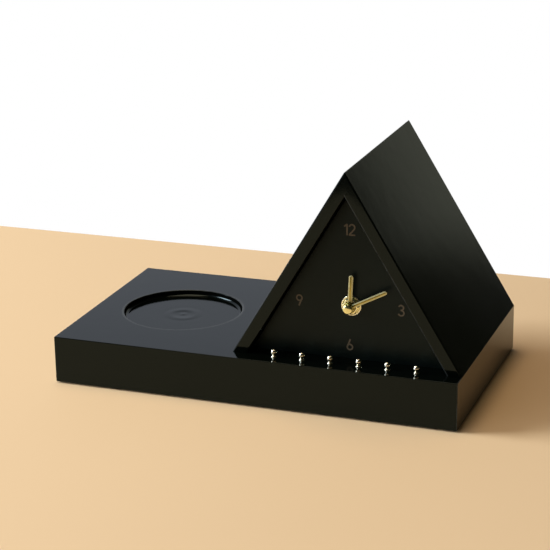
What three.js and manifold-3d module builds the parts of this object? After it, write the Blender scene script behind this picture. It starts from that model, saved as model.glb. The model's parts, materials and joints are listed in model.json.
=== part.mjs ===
// A black lacquered wake-up light: a plinth with a round tray, and a roof-shaped housing with a
// sunk clock dial in front and an opal lamp panel at the back.
// Millimetres. +X to the right, +Y to the back, +Z up. The origin is on the table, under the
// middle of the plinth.
import * as THREE from 'three';
import { mergeVertices } from 'three/addons/utils/BufferGeometryUtils.js';
import Module from 'manifold-3d';

const wasm = await Module();
wasm.setup();

// Clearances
const seat = 0.1; // between two pieces that lie face to face
const fit = 0.3; // round a piece that slips into another
const sink = 0.5; // how far a joined form reaches into its neighbour
const over = 1; // how far a cutting form reaches past what it cuts

// Plinth
const plinthLength = 300;
const plinthDepth = 168;
const plinthHeight = 35.5;
const plinthWall = 6;
const plinthTopThickness = 9;
const edgeChamfer = 0.6;

// Round tray in the plinth's left half
const trayDiameter = 88;
const trayDepth = 4;
const trayInset = 66.2; // from the plinth's left end to the tray's centre
const trayRim = 1.2;

// Base plate, feet and screws
const footHeight = 1;
const footDiameter = 16;
const footInset = [34, 20]; // from the plinth's ends and its front
const plateThickness = 3;
const plateInset = 3; // casing left round the plate
const bossWidth = 9;
const baseScrewDiameter = 3;
const baseScrewLength = 12;
const soundHoleDiameter = 3;
const soundHolePitch = 6;

// Housing
const housingHalfBase = 83;
const housingRise = 137;
const boardThickness = 9;
const housingSetback = 11.4; // from the plinth's front to the housing's
const nicheDepth = 12; // the dial lies this far behind the housing's front
const rearNicheDepth = 12;
const dialThickness = 3;
const rearPanelThickness = 3;
const rearPanelChamfer = 0.3;
const railWidth = 16;
const railHeight = 14;
const railScrewDiameter = 4;
const railScrewGrip = 10; // length inside the rail
const railScrewHead = 2.4;
const railScrewSpacing = 80;
const ridgeBlockHeight = 15;

// Ball-headed buttons
const buttonCount = 6;
const buttonSpacing = 20.6;
const buttonSetback = 11; // from the plinth's front
const ballDiameter = 4.6;
const buttonStemDiameter = 3;
const buttonCollarDiameter = 5;
const buttonCollarThickness = 1.2;
const buttonTravel = 0.8;

// Control board under the buttons
const controlTop = 16; // height of the board's upper face
const circuitThickness = 1.6;
const controlEnd = 7; // of the board past the outer buttons
const controlDepth = 35;
const controlGap = 0.5; // from the plinth's front wall
const pegDiameter = 3;
const postDiameter = 7;
const postInset = 5; // from the board's ends and rear edge
const pegEnd = 1; // of the peg below the board
const switchWidth = 6.4;
const switchHeight = 4.3;
const switchFloor = 1.2;
const sounderDiameter = 20;
const sounderHeight = 8;

// Power inlet in the rear wall
const jackOffset = 30; // to the right of the housing's middle
const jackHeight = 16;
const jackBarrelDiameter = 10;
const jackBore = 6.4;
const jackPin = 2;
const jackBoreDepth = 9;
const jackBody = [12, 13, 11];

// Lamp
const lampLength = 90;
const lampHeight = 22;
const lampBracketDepth = 18;
const lampBracketThickness = 2;
const lampDistance = 22; // from the LEDs to the rear panel
const ledCount = 8;
const ledSize = 5;
const ledHeight = 1.4;
const panelKnobDiameter = 8;
const panelKnobHeight = 60; // above the plinth
const panelKnobNeck = 2;
const panelKnobHead = 1.5;

// Internal leads
const leadDiameter = 3;
const leadHoleDiameter = 6;
const leadHoleOffset = 20; // to the right of the housing's middle
const leadDrop = 8; // of the lamp's lead below the plinth's ceiling
const leadStraight = 8; // straight run of a lead at its end
const leadReach = 14; // length that a lead takes to rise or fall to its run
const leadSag = 4; // of the inlet's lead below the board's edge
const leadBend = 6; // size of a lead's corner

// Clock movement; depths run back from the front of its case
const hubHeight = 39.2; // of the hands' axis above the plinth
const hubOffset = 1.2; // of the hands' axis to the right of the housing's middle
const movementWidth = 56;
const movementDepth = 16.6;
const movementWall = 1.5;
const coverThickness = 1.5;
const neckDiameter = 8;
const neckStandOut = 0.4; // of the neck past its nut
const batteryDiameter = 14.5;
const batteryLength = 50.5;
const batteryEdge = 0.5;
const batteryNub = [5.6, 1.3]; // diameter and height
const contactThickness = 0.6;
const contactSize = [9, 10]; // depth and height

// Motion work
const minuteWheelModule = 0.5;
const hourWheelModule = 0.48;
const centreWheelModule = 0.5;
const cannonTeeth = 12;
const minuteWheelTeeth = 36;
const minutePinionTeeth = 10;
const hourWheelTeeth = 40;
const centreWheelTeeth = 40;
const motorPinionTeeth = 10;
const toothShare = 0.46; // of the pitch that a tooth fills, the rest being backlash and gap
const wheelThickness = 1.2;
const pinionThickness = 1.6;
const arborDiameter = 1.6;
const motorArborReach = 4; // of the arbor into its motor
const motorWall = 4.5; // of the motor round its arbor
const minuteTube = [3.4, 2.2]; // outer and inner diameter
const hourTube = [5.2, 4];
const tubeSetback = 0.2; // of a tube's end behind its hand's face
const arborSetback = 0.4;
const settingStemDiameter = 3;
const settingKnobDiameter = 12;
const settingKnobThickness = 4;
const settingKnobGrips = 18;
const settingKnobGripDepth = 0.5;

// Hands and hub
const washerDiameter = 14.6;
const washerThickness = 0.8;
const nutAcrossFlats = 10.5;
const nutThickness = 2.4;
const nutChamfer = 0.5;
const hourHandWidth = 3.2;
const minuteHandWidth = 2.8;
const handThickness = 0.6;
const handChamfer = 0.2;
const hourHandLength = 23.3;
const minuteHandLength = 31.3;
const handHubThickness = 1.2;
const hourHubDiameter = 8;
const minuteHubDiameter = 6.6;
const capDiameter = 6.6;
const capHeight = 3.6;
const capDome = 1;
const hourAngle = 3; // degrees past 12, at about ten minutes past
const minuteAngle = 62.4;

// Numerals, raised on the dial
const numeralHeight = 8.5;
const numeralStroke = 0.9;
const numeralRelief = 0.2;
const twelveHeight = 54.3; // above the hands' axis
const sixHeight = -28.8;
const sideNumeralOffset = 36.7;

// Places worked out from the sizes above
const housingX = plinthLength / 2 - housingHalfBase;
const housingFoot = plinthHeight + seat;
const housingFront = -plinthDepth / 2 + housingSetback;
const housingBack = plinthDepth / 2;
const slope = Math.atan2(housingRise, housingHalfBase);
const innerHalfBase = housingHalfBase - boardThickness / Math.sin(slope);
const innerRise = housingRise - boardThickness / Math.cos(slope);
const ceiling = plinthHeight - plinthTopThickness;
const plateBottom = footHeight + seat;
const plateTop = plateBottom + plateThickness;
const dialFront = housingFront + nicheDepth;
const dialBack = dialFront + dialThickness;
const rearPanelBack = housingBack - rearNicheDepth;
const rearPanelFront = rearPanelBack - rearPanelThickness;
const hubX = housingX + hubOffset;
const hubZ = plinthHeight + hubHeight;
const trayX = -plinthLength / 2 + trayInset;
const buttonY = -plinthDepth / 2 + buttonSetback;
const bossX = plinthLength / 2 - plinthWall - bossWidth / 2;
const bossY = plinthDepth / 2 - plinthWall - bossWidth / 2;
const controlLength = (buttonCount - 1) * buttonSpacing + 2 * controlEnd;
const controlFront = -plinthDepth / 2 + plinthWall + controlGap;
const controlBack = controlFront + controlDepth;
const controlBottom = controlTop - circuitThickness;
const railX = innerHalfBase - railWidth / 2 - fit; // rail middle, from the housing's
const railScrewY = (dialBack + rearPanelFront) / 2;
const jackX = housingX + jackOffset;
const lampBoardBack = rearPanelFront - lampDistance - ledHeight;
const lampBoardFront = lampBoardBack - circuitThickness;
const lampUprightBack = lampBoardFront - seat;
const leadHoleX = housingX + leadHoleOffset;
const leadHoleY = lampUprightBack - lampBracketDepth - leadHoleDiameter;
const lampMiddle = housingFoot + lampBracketThickness + lampHeight / 2;

// A closed solid from any geometry, with shared vertices merged and empty triangles dropped
function solidOf(geometry) {
  const plain = geometry.clone();
  plain.deleteAttribute('normal');
  plain.deleteAttribute('uv');
  const merged = mergeVertices(plain, 1e-4);
  const index = merged.index.array;
  const triangles = [];
  for (let i = 0; i < index.length; i += 3) {
    const [a, b, c] = [index[i], index[i + 1], index[i + 2]];
    if (a !== b && b !== c && c !== a) triangles.push(a, b, c);
  }
  const vertProperties = new Float32Array(merged.attributes.position.array);
  const triVerts = new Uint32Array(triangles);
  return new wasm.Manifold(new wasm.Mesh({ numProp: 3, vertProperties, triVerts }));
}

function geometryOf(solid) {
  const mesh = solid.getMesh();
  const geometry = new THREE.BufferGeometry();
  geometry.setAttribute('position', new THREE.BufferAttribute(mesh.vertProperties, 3));
  geometry.setIndex(new THREE.BufferAttribute(mesh.triVerts, 1));
  geometry.computeVertexNormals();
  return geometry;
}

function join(...geometries) {
  let result = solidOf(geometries[0]);
  for (const geometry of geometries.slice(1)) result = result.add(solidOf(geometry));
  return geometryOf(result);
}

function cut(geometry, ...tools) {
  let result = solidOf(geometry);
  for (const tool of tools) result = result.subtract(solidOf(tool));
  return geometryOf(result);
}

function overlapOf(geometry, other) {
  return geometryOf(solidOf(geometry).intersect(solidOf(other)));
}

// Basic forms, each given by its lowest and highest place
function block(x0, x1, y0, y1, z0, z1) {
  const geometry = new THREE.BoxGeometry(x1 - x0, y1 - y0, z1 - z0);
  return geometry.translate((x0 + x1) / 2, (y0 + y1) / 2, (z0 + z1) / 2);
}

function centredBlock(x, y, width, depth, z0, z1) {
  return block(x - width / 2, x + width / 2, y - depth / 2, y + depth / 2, z0, z1);
}

// A cylinder standing up along Z
function post(diameter, x, y, z0, z1, sides = 20) {
  const geometry = new THREE.CylinderGeometry(diameter / 2, diameter / 2, z1 - z0, sides);
  return geometry.rotateX(Math.PI / 2).translate(x, y, (z0 + z1) / 2);
}

// A cylinder lying along Y
function rod(diameter, x, z, y0, y1, sides = 20) {
  const geometry = new THREE.CylinderGeometry(diameter / 2, diameter / 2, y1 - y0, sides);
  return geometry.translate(x, (y0 + y1) / 2, z);
}

// A tube lying along Y
function tube(outer, inner, x, z, y0, y1, sides = 20) {
  const profile = [
    [inner / 2, y0],
    [outer / 2, y0],
    [outer / 2, y1],
    [inner / 2, y1],
    [inner / 2, y0],
  ];
  return turned(profile, sides).translate(x, 0, z);
}

// A turned form about the Y axis, from pairs of radius and place
function turned(profile, sides = 20) {
  return new THREE.LatheGeometry(profile.map(([r, y]) => new THREE.Vector2(r, y)), sides);
}

// The same form, standing along Z
function turnedUp(profile, sides = 20) {
  return turned(profile, sides).rotateX(Math.PI / 2);
}

function outline(points) {
  return new THREE.Shape(points.map(([a, b]) => new THREE.Vector2(a, b)));
}

// A plate whose outline lies in X and Z, from y0 back to y1, with chamfered ends
function upright(shape, y0, y1, chamfer = 0) {
  const geometry = new THREE.ExtrudeGeometry(shape, {
    depth: y1 - y0 - 2 * chamfer,
    bevelEnabled: chamfer > 0,
    bevelThickness: chamfer,
    bevelSize: chamfer,
    bevelOffset: -chamfer,
    bevelSegments: 1,
    curveSegments: 7,
  });
  return geometry.rotateX(Math.PI / 2).translate(0, y1 - chamfer, 0);
}

// A block with its vertical, upper and lower edges chamfered
function lacqueredBlock(length, depth, z0, z1, chamfer) {
  const [a, b] = [length / 2, depth / 2];
  const shape = outline([
    [-a + chamfer, -b],
    [a - chamfer, -b],
    [a, -b + chamfer],
    [a, b - chamfer],
    [a - chamfer, b],
    [-a + chamfer, b],
    [-a, b - chamfer],
    [-a, -b + chamfer],
  ]);
  const geometry = new THREE.ExtrudeGeometry(shape, {
    depth: z1 - z0 - 2 * chamfer,
    bevelEnabled: true,
    bevelThickness: chamfer,
    bevelSize: chamfer,
    bevelOffset: -chamfer,
    bevelSegments: 1,
  });
  return geometry.translate(0, 0, z0 + chamfer);
}

// Screw standing along Z with its head down: a countersunk or flat head with a slot
function screw(x, y, headBottom, headDiameter, headHeight, shankDiameter, length, countersunk) {
  const neckRadius = countersunk ? shankDiameter / 2 : headDiameter / 2;
  const profile = [
    [0, 0],
    [headDiameter / 2, 0],
    [neckRadius, headHeight],
    [shankDiameter / 2, headHeight],
    [shankDiameter / 2, length - shankDiameter / 2],
    [0, length],
  ];
  const points = countersunk ? profile.filter((point, i) => i !== 3) : profile;
  const slot = centredBlock(0, 0, headDiameter * 0.7, headDiameter * 0.16, -1, headHeight * 0.4);
  return cut(turnedUp(points, 16), slot).translate(x, y, headBottom);
}

const material = {
  lacquer: () => new THREE.MeshStandardMaterial({ color: 0x14140f, roughness: 0.35 }),
  dial: () => new THREE.MeshStandardMaterial({ color: 0x171713, roughness: 0.6 }),
  brass: () => new THREE.MeshStandardMaterial({ color: 0xc9a24a, roughness: 0.25, metalness: 1 }),
  paleGold: () => new THREE.MeshStandardMaterial({ color: 0xd9c79a, roughness: 0.1, metalness: 1 }),
  steel: () => new THREE.MeshStandardMaterial({ color: 0x9a9c9e, roughness: 0.3, metalness: 1 }),
  aluminium: () => new THREE.MeshStandardMaterial({ color: 0xc4c6c8, roughness: 0.4, metalness: 1 }),
  blackPlastic: () => new THREE.MeshStandardMaterial({ color: 0x161616, roughness: 0.5 }),
  whitePlastic: () => new THREE.MeshStandardMaterial({ color: 0xe6e4dc, roughness: 0.5 }),
  opal: () => new THREE.MeshStandardMaterial({ color: 0xf1ece0, roughness: 0.4 }),
  circuit: () => new THREE.MeshStandardMaterial({ color: 0x14532d, roughness: 0.5 }),
  wood: () => new THREE.MeshStandardMaterial({ color: 0xb08a5a, roughness: 0.7 }),
  rubber: () => new THREE.MeshStandardMaterial({ color: 0x101010, roughness: 0.9 }),
};

function piece(group, name, geometry, finish) {
  const mesh = new THREE.Mesh(geometry, finish());
  mesh.name = name;
  group.add(mesh);
  return mesh;
}

function buttonPlaces() {
  const middle = (buttonCount - 1) / 2;
  return Array.from({ length: buttonCount }, (_, i) => housingX + (i - middle) * buttonSpacing);
}

function corners(x, y) {
  return [
    [-x, -y],
    [x, -y],
    [-x, y],
    [x, y],
  ];
}

function controlPosts() {
  const x = controlLength / 2 - postInset;
  const y = controlBack - postInset;
  const [left, right] = [housingX - x, housingX + x];
  return [
    [left, y],
    [right, y],
    [left, y - controlDepth / 2],
    [right, y - controlDepth / 2],
  ];
}

function railScrewPlaces() {
  return [-railX, railX].flatMap((x) =>
    [-1, 1].map((side) => [housingX + x, railScrewY + (side * railScrewSpacing) / 2]),
  );
}

// The plinth's lacquered casing: solid top with the tray, hollow from below
function baseCasing() {
  const body = lacqueredBlock(plinthLength, plinthDepth, footHeight, plinthHeight, edgeChamfer);
  const inside = [plinthLength - 2 * plinthWall, plinthDepth - 2 * plinthWall];
  const hollow = centredBlock(0, 0, ...inside, plateTop, ceiling);
  const bosses = corners(bossX, bossY).map(([x, y]) =>
    centredBlock(x, y, bossWidth, bossWidth, plateTop + seat, ceiling + over),
  );
  const rebate = centredBlock(
    0,
    0,
    plinthLength - 2 * plateInset,
    plinthDepth - 2 * plateInset,
    0,
    plateTop + seat,
  );
  const trayFloor = plinthHeight - trayDepth;
  const trayRadius = trayDiameter / 2;
  const tray = turnedUp(
    [
      [0, trayFloor],
      [trayRadius, trayFloor],
      [trayRadius, plinthHeight - trayRim],
      [trayRadius + trayRim, plinthHeight],
      [trayRadius + trayRim, plinthHeight + over],
      [0, plinthHeight + over],
    ],
    60,
  ).translate(trayX, 0, 0);
  const posts = controlPosts().flatMap(([x, y]) => [
    post(postDiameter, x, y, controlTop + seat, ceiling + over, 12),
    post(pegDiameter, x, y, controlBottom - pegEnd, controlTop + over, 8),
  ]);
  const pilotDepth = plateTop + baseScrewLength;
  const holes = [
    ...corners(bossX, bossY).map(([x, y]) =>
      post(baseScrewDiameter + 2 * fit, x, y, 0, pilotDepth, 10),
    ),
    ...buttonPlaces().map((x) =>
      post(buttonStemDiameter + 2 * fit, x, buttonY, ceiling - over, plinthHeight + over, 12),
    ),
    ...railScrewPlaces().map(([x, y]) =>
      post(railScrewDiameter + 2 * fit, x, y, ceiling - over, plinthHeight + over, 12),
    ),
    post(leadHoleDiameter, leadHoleX, leadHoleY, ceiling - over, plinthHeight + over, 12),
    rod(jackBarrelDiameter + 2 * fit, jackX, jackHeight, bossY, housingBack + over),
  ];
  let result = solidOf(body).subtract(solidOf(hollow)).subtract(solidOf(rebate));
  for (const boss of [...bosses, ...posts]) result = result.add(solidOf(boss));
  result = result.subtract(solidOf(tray));
  for (const hole of holes) result = result.subtract(solidOf(hole));
  return geometryOf(result);
}

function basePlate() {
  const width = plinthLength - 2 * (plateInset + fit);
  const depth = plinthDepth - 2 * (plateInset + fit);
  const plate = centredBlock(0, 0, width, depth, plateBottom, plateTop);
  const head = baseScrewDiameter + fit;
  const screwHoles = corners(bossX, bossY).map(([x, y]) =>
    turnedUp(
      [
        [0, -over],
        [head + over, -over],
        [head + over, 0],
        [baseScrewDiameter / 2 + fit, plateThickness * 0.7],
        [baseScrewDiameter / 2 + fit, plateThickness + over],
        [0, plateThickness + over],
      ],
      12,
    ).translate(x, y, plateBottom),
  );
  const soundY = (controlFront + controlBack) / 2;
  const ring = Array.from({ length: 6 }, (_, i) => (i * Math.PI) / 3);
  const soundPlaces = [
    [0, 0],
    ...ring.map((turn) => [soundHolePitch * Math.cos(turn), soundHolePitch * Math.sin(turn)]),
  ];
  const soundHoles = soundPlaces.map(([x, y]) =>
    post(soundHoleDiameter, housingX + x, soundY + y, 0, plateTop + over, 8),
  );
  return cut(plate, ...screwHoles, ...soundHoles);
}

// Profile of a ball on a stem, from where the stem meets it to its far pole
function ballOnStem(ballRadius, stemRadius, centre, steps) {
  const start = Math.asin(stemRadius / ballRadius);
  return Array.from({ length: steps + 1 }, (_, i) => {
    const angle = start + ((Math.PI - start) * i) / steps;
    const radius = i === steps ? 0 : ballRadius * Math.sin(angle);
    return [radius, centre - ballRadius * Math.cos(angle)];
  });
}

// Button: ball head, stem, retaining collar under the plinth's top, end inside the switch
function buttonForm() {
  const ballCentre = plinthHeight + fit + buttonTravel + ballDiameter / 2;
  const stem = buttonStemDiameter / 2;
  const stemEnd = controlTop + seat + switchFloor + fit + buttonTravel;
  const collar = buttonCollarDiameter / 2;
  const collarTop = ceiling - fit;
  const profile = [
    [0, stemEnd],
    [stem, stemEnd],
    [stem, collarTop - buttonCollarThickness],
    [collar, collarTop - buttonCollarThickness],
    [collar, collarTop],
    [stem, collarTop],
    ...ballOnStem(ballDiameter / 2, stem, ballCentre, 6),
  ];
  return turnedUp(profile, 12);
}

function switchForm() {
  const bottom = controlTop + seat;
  const top = bottom + switchHeight;
  const body = centredBlock(0, 0, switchWidth, switchWidth, bottom, top);
  const bore = post(buttonStemDiameter + 2 * fit, 0, 0, bottom + switchFloor, top + over, 12);
  return cut(body, bore);
}

function controlBoard() {
  const left = housingX - controlLength / 2;
  const board = block(
    left,
    left + controlLength,
    controlFront,
    controlBack,
    controlBottom,
    controlTop,
  );
  const pegHole = pegDiameter + 2 * fit;
  const holes = controlPosts().map(([x, y]) => post(pegHole, x, y, 0, controlTop + over, 8));
  return cut(board, ...holes);
}

function sounderForm() {
  const top = controlBottom - seat;
  const y = (controlFront + controlBack) / 2;
  const can = post(sounderDiameter, housingX, y, top - sounderHeight, top, 24);
  return cut(can, post(soundHoleDiameter, housingX, y, 0, top - sounderHeight / 2, 12));
}

function powerJack() {
  const [width, depth, height] = jackBody;
  const face = housingBack - edgeChamfer;
  const wallInside = housingBack - plinthWall;
  const bodyBack = wallInside - seat;
  const body = centredBlock(
    jackX,
    bodyBack - depth / 2,
    width,
    depth,
    jackHeight - height / 2,
    jackHeight + height / 2,
  );
  const barrel = rod(jackBarrelDiameter, jackX, jackHeight, bodyBack - sink, face);
  const bore = rod(jackBore, jackX, jackHeight, face - jackBoreDepth, face + over);
  const pin = rod(jackPin, jackX, jackHeight, face - jackBoreDepth - sink, face - jackPin / 2, 12);
  const shell = solidOf(body).add(solidOf(barrel)).subtract(solidOf(bore));
  return geometryOf(shell.add(solidOf(pin)));
}

// A lead of round section through hand-chosen places
function lead(places, steps) {
  const path = new THREE.CatmullRomCurve3(places.map((place) => new THREE.Vector3(...place)));
  const radius = leadDiameter / 2;
  const sides = 8;
  const section = outline(
    Array.from({ length: sides }, (_, i) => {
      const turn = (i / sides) * 2 * Math.PI;
      return [radius * Math.cos(turn), radius * Math.sin(turn)];
    }),
  );
  return new THREE.ExtrudeGeometry(section, { steps, extrudePath: path, bevelEnabled: false });
}

function jackLead() {
  const start = housingBack - plinthWall - seat - jackBody[1] - fit;
  const end = controlBack + fit;
  const z = controlBottom + circuitThickness / 2;
  const low = z - leadSag;
  return lead(
    [
      [jackX, start, jackHeight],
      [jackX, start - leadStraight, jackHeight],
      [jackX, start - leadStraight - leadReach, low],
      [jackX, (start + end) / 2, low],
      [jackX, end + leadStraight + leadReach, low],
      [jackX, end + leadStraight, z],
      [jackX, end, z],
    ],
    15,
  );
}

// From the control board along the hollow, up through the plinth's top and through the bracket
function ledLead() {
  const x = leadHoleX;
  const start = controlTop + fit;
  const startY = controlBack - leadDiameter / 2 - controlEnd / 2;
  const run = ceiling - leadDrop;
  const corner = leadBend * (1 - Math.SQRT1_2);
  return lead(
    [
      [x, startY, start],
      [x, startY, start + leadDiameter / 2],
      [x, startY + leadStraight, run],
      [x, startY + leadStraight + leadReach, run],
      [x, leadHoleY - leadBend - leadReach, run],
      [x, leadHoleY - leadBend, run],
      [x, leadHoleY - corner, run + leadBend - corner],
      [x, leadHoleY, ceiling],
      [x, leadHoleY, plinthHeight],
      [x, leadHoleY, lampMiddle - leadBend],
      [x, leadHoleY + corner, lampMiddle - corner],
      [x, leadHoleY + leadBend, lampMiddle],
      [x, lampUprightBack - lampBracketThickness - leadDiameter, lampMiddle],
      [x, lampBoardFront - fit, lampMiddle],
    ],
    36,
  );
}

const wakeUpLight = new THREE.Group();

function buildPlinth() {
  const plinth = new THREE.Group();
  wakeUpLight.add(plinth);
  piece(plinth, 'base_casing', baseCasing(), material.lacquer);
  piece(plinth, 'base_plate', basePlate(), material.blackPlastic);
  const footX = plinthLength / 2 - footInset[0];
  const footY = plinthDepth / 2 - footInset[1];
  corners(footX, footY).forEach(([x, y], i) => {
    const foot = piece(plinth, `foot_${i + 1}`, post(footDiameter, 0, 0, 0, footHeight), material.rubber);
    foot.position.set(x, y, 0);
  });
  corners(bossX, bossY).forEach(([x, y], i) => {
    const head = baseScrewDiameter * 2;
    const headBottom = plateBottom + seat;
    const form = screw(x, y, headBottom, head, head / 4, baseScrewDiameter, baseScrewLength, true);
    piece(plinth, `base_screw_${i + 1}`, form, material.steel);
  });
  piece(plinth, 'control_board', controlBoard(), material.circuit);
  piece(plinth, 'sounder', sounderForm(), material.blackPlastic);
  buttonPlaces().forEach((x, i) => {
    const button = piece(plinth, `button_${i + 1}`, buttonForm(), material.paleGold);
    button.position.set(x, buttonY, 0);
    const pushSwitch = piece(plinth, `switch_${i + 1}`, switchForm(), material.blackPlastic);
    pushSwitch.position.set(x, buttonY, 0);
  });
  piece(plinth, 'power_jack', powerJack(), material.blackPlastic);
  piece(plinth, 'jack_lead', jackLead(), material.rubber);
  piece(plinth, 'led_lead', ledLead(), material.rubber);
}

// Half-width of the housing's outer or inner face at a height
function halfWidthAt(z, halfBase, rise) {
  return halfBase * (1 - (z - plinthHeight) / rise);
}

function roofBoard(side) {
  const outerFoot = halfWidthAt(housingFoot, housingHalfBase, housingRise);
  const innerFoot = halfWidthAt(housingFoot, innerHalfBase, innerRise);
  const mitre = seat / 2;
  const ridge = plinthHeight + housingRise * (1 - mitre / housingHalfBase);
  const innerRidge = plinthHeight + innerRise * (1 - mitre / innerHalfBase);
  const shape = outline([
    [housingX + side * outerFoot, housingFoot],
    [housingX + side * mitre, ridge],
    [housingX + side * mitre, innerRidge],
    [housingX + side * innerFoot, housingFoot],
  ]);
  return upright(shape, housingFront, housingBack, edgeChamfer);
}

// The triangle that fills the housing's inside, less the gap along the boards
function fillingTriangle(gap, foot) {
  const half = innerHalfBase - gap / Math.sin(slope);
  const rise = innerRise - gap / Math.cos(slope);
  const footHalf = halfWidthAt(foot, half, rise);
  return outline([
    [housingX - footHalf, foot],
    [housingX + footHalf, foot],
    [housingX, plinthHeight + rise],
  ]);
}

function rail(side) {
  const half = innerHalfBase - fit / Math.sin(slope);
  const rise = innerRise - fit / Math.cos(slope);
  const top = housingFoot + railHeight;
  const outer = halfWidthAt(housingFoot, half, rise);
  const shape = outline([
    [housingX + side * outer, housingFoot],
    [housingX + side * halfWidthAt(top, half, rise), top],
    [housingX + side * (outer - railWidth), top],
    [housingX + side * (outer - railWidth), housingFoot],
  ]);
  const body = upright(shape, dialBack + seat, rearPanelFront - seat);
  const hole = railScrewDiameter + 2 * fit;
  const holeTop = housingFoot + railScrewGrip + over;
  const pilots = railScrewPlaces()
    .filter(([x]) => (x - housingX) * side > 0)
    .map(([x, y]) => post(hole, x, y, plinthHeight - over, holeTop, 16));
  return cut(body, ...pilots);
}

// Strokes of a numeral in a frame one unit high: straight runs and arcs in degrees
const numeralStrokes = {
  1: { width: 0.3, lines: [[0.02, 0.76, 0.27, 0.97], [0.27, 0, 0.27, 1]], arcs: [] },
  2: {
    width: 0.56,
    lines: [[0.47, 0.57, 0.03, 0.04], [0, 0.05, 0.56, 0.05]],
    arcs: [[0.28, 0.72, 0.24, -40, 170]],
  },
  3: {
    width: 0.54,
    lines: [[0.22, 0.53, 0.34, 0.53]],
    arcs: [[0.27, 0.75, 0.21, -92, 160], [0.27, 0.28, 0.24, -160, 92]],
  },
  6: {
    width: 0.56,
    lines: [[0.06, 0.33, 0.33, 0.99]],
    arcs: [[0.28, 0.28, 0.24, 0, 180], [0.28, 0.28, 0.24, 180, 360]],
  },
};

function lineStroke(x0, z0, x1, z1, width) {
  const [dx, dz] = [x1 - x0, z1 - z0];
  const scale = width / 2 / Math.hypot(dx, dz);
  const [nx, nz] = [-dz * scale, dx * scale];
  return outline([
    [x0 + nx, z0 + nz],
    [x0 - nx, z0 - nz],
    [x1 - nx, z1 - nz],
    [x1 + nx, z1 + nz],
  ]);
}

function arcStroke(x, z, radius, from, to, width) {
  const [start, end] = [from, to].map(THREE.MathUtils.degToRad);
  const shape = new THREE.Shape();
  shape.absarc(x, z, radius + width / 2, start, end, false);
  shape.absarc(x, z, radius - width / 2, end, start, true);
  return shape;
}

// Numeral centred at a place on the dial, sunk a little into the panel so that it joins it
function numeral(digit, centreX, centreZ, turned180 = false) {
  const h = numeralHeight;
  const { width, lines, arcs } = numeralStrokes[digit];
  const shapes = [
    ...lines.map((line) => lineStroke(...line.map((v) => v * h), numeralStroke)),
    ...arcs.map(([x, z, r, a, b]) => arcStroke(x * h, z * h, r * h, a, b, numeralStroke)),
  ];
  return shapes.map((shape) => {
    const form = upright(shape, -numeralRelief, numeralRelief).translate((-width * h) / 2, 0, -h / 2);
    if (turned180) form.rotateY(Math.PI);
    return form.translate(centreX, dialFront, centreZ);
  });
}

function dialPanel() {
  const panel = upright(fillingTriangle(fit, housingFoot), dialFront, dialBack);
  const hole = rod(neckDiameter + 2 * fit, hubX, hubZ, dialFront - over, dialBack + over);
  const half = (numeralStrokes[2].width * numeralHeight) / 2;
  const numerals = [
    ...numeral(1, housingX - half - numeralStroke / 2, hubZ + twelveHeight),
    ...numeral(2, housingX + half - numeralStroke / 2, hubZ + twelveHeight),
    ...numeral(3, housingX + sideNumeralOffset, hubZ),
    ...numeral(6, housingX, hubZ + sixHeight),
    ...numeral(6, housingX - sideNumeralOffset, hubZ, true),
  ];
  let result = solidOf(panel).subtract(solidOf(hole));
  for (const form of numerals) result = result.add(solidOf(form));
  return geometryOf(result);
}

function rearPanel() {
  const shape = fillingTriangle(fit, housingFoot);
  const panel = upright(shape, rearPanelFront, rearPanelBack, rearPanelChamfer);
  const stemHole = panelKnobDiameter / 2 + 2 * fit;
  const z = plinthHeight + panelKnobHeight;
  return cut(panel, rod(stemHole, housingX, z, rearPanelFront - over, rearPanelBack + over, 16));
}

// Ball knob with its stem through the rear panel and a flat inner head
function panelKnob() {
  const radius = panelKnobDiameter / 2;
  const stem = radius / 2;
  const headFront = rearPanelFront - seat - panelKnobHead;
  const profile = [
    [0, headFront],
    [radius, headFront],
    [radius, rearPanelFront - seat],
    [stem, rearPanelFront - seat],
    ...ballOnStem(radius, stem, rearPanelBack + panelKnobNeck + radius, 7),
  ];
  return turned(profile, 16).translate(housingX, 0, plinthHeight + panelKnobHeight);
}

function ledBracket() {
  const [left, right] = [housingX - lampLength / 2, housingX + lampLength / 2];
  const foot = block(
    left,
    right,
    lampUprightBack - lampBracketDepth,
    lampUprightBack,
    housingFoot,
    housingFoot + lampBracketThickness,
  );
  const uprightFront = lampUprightBack - lampBracketThickness;
  const top = housingFoot + lampBracketThickness + lampHeight;
  const wall = block(left, right, uprightFront, lampUprightBack, housingFoot, top);
  const leadHole = leadDiameter + 2 * fit;
  const hole = rod(leadHole, leadHoleX, lampMiddle, uprightFront - over, lampUprightBack + over, 12);
  return cut(join(foot, wall), hole);
}

function ledBoard() {
  const [left, right] = [housingX - lampLength / 2, housingX + lampLength / 2];
  const bottom = housingFoot + lampBracketThickness;
  const board = block(left, right, lampBoardFront, lampBoardBack, bottom, bottom + lampHeight);
  const pitch = lampLength / ledCount;
  const leds = Array.from({ length: ledCount }, (_, i) => {
    const x = left + pitch * (i + 0.5);
    return block(
      x - ledSize / 2,
      x + ledSize / 2,
      lampBoardBack - sink,
      lampBoardBack + ledHeight,
      lampMiddle - ledSize / 2,
      lampMiddle + ledSize / 2,
    );
  });
  return join(board, ...leds);
}

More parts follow.
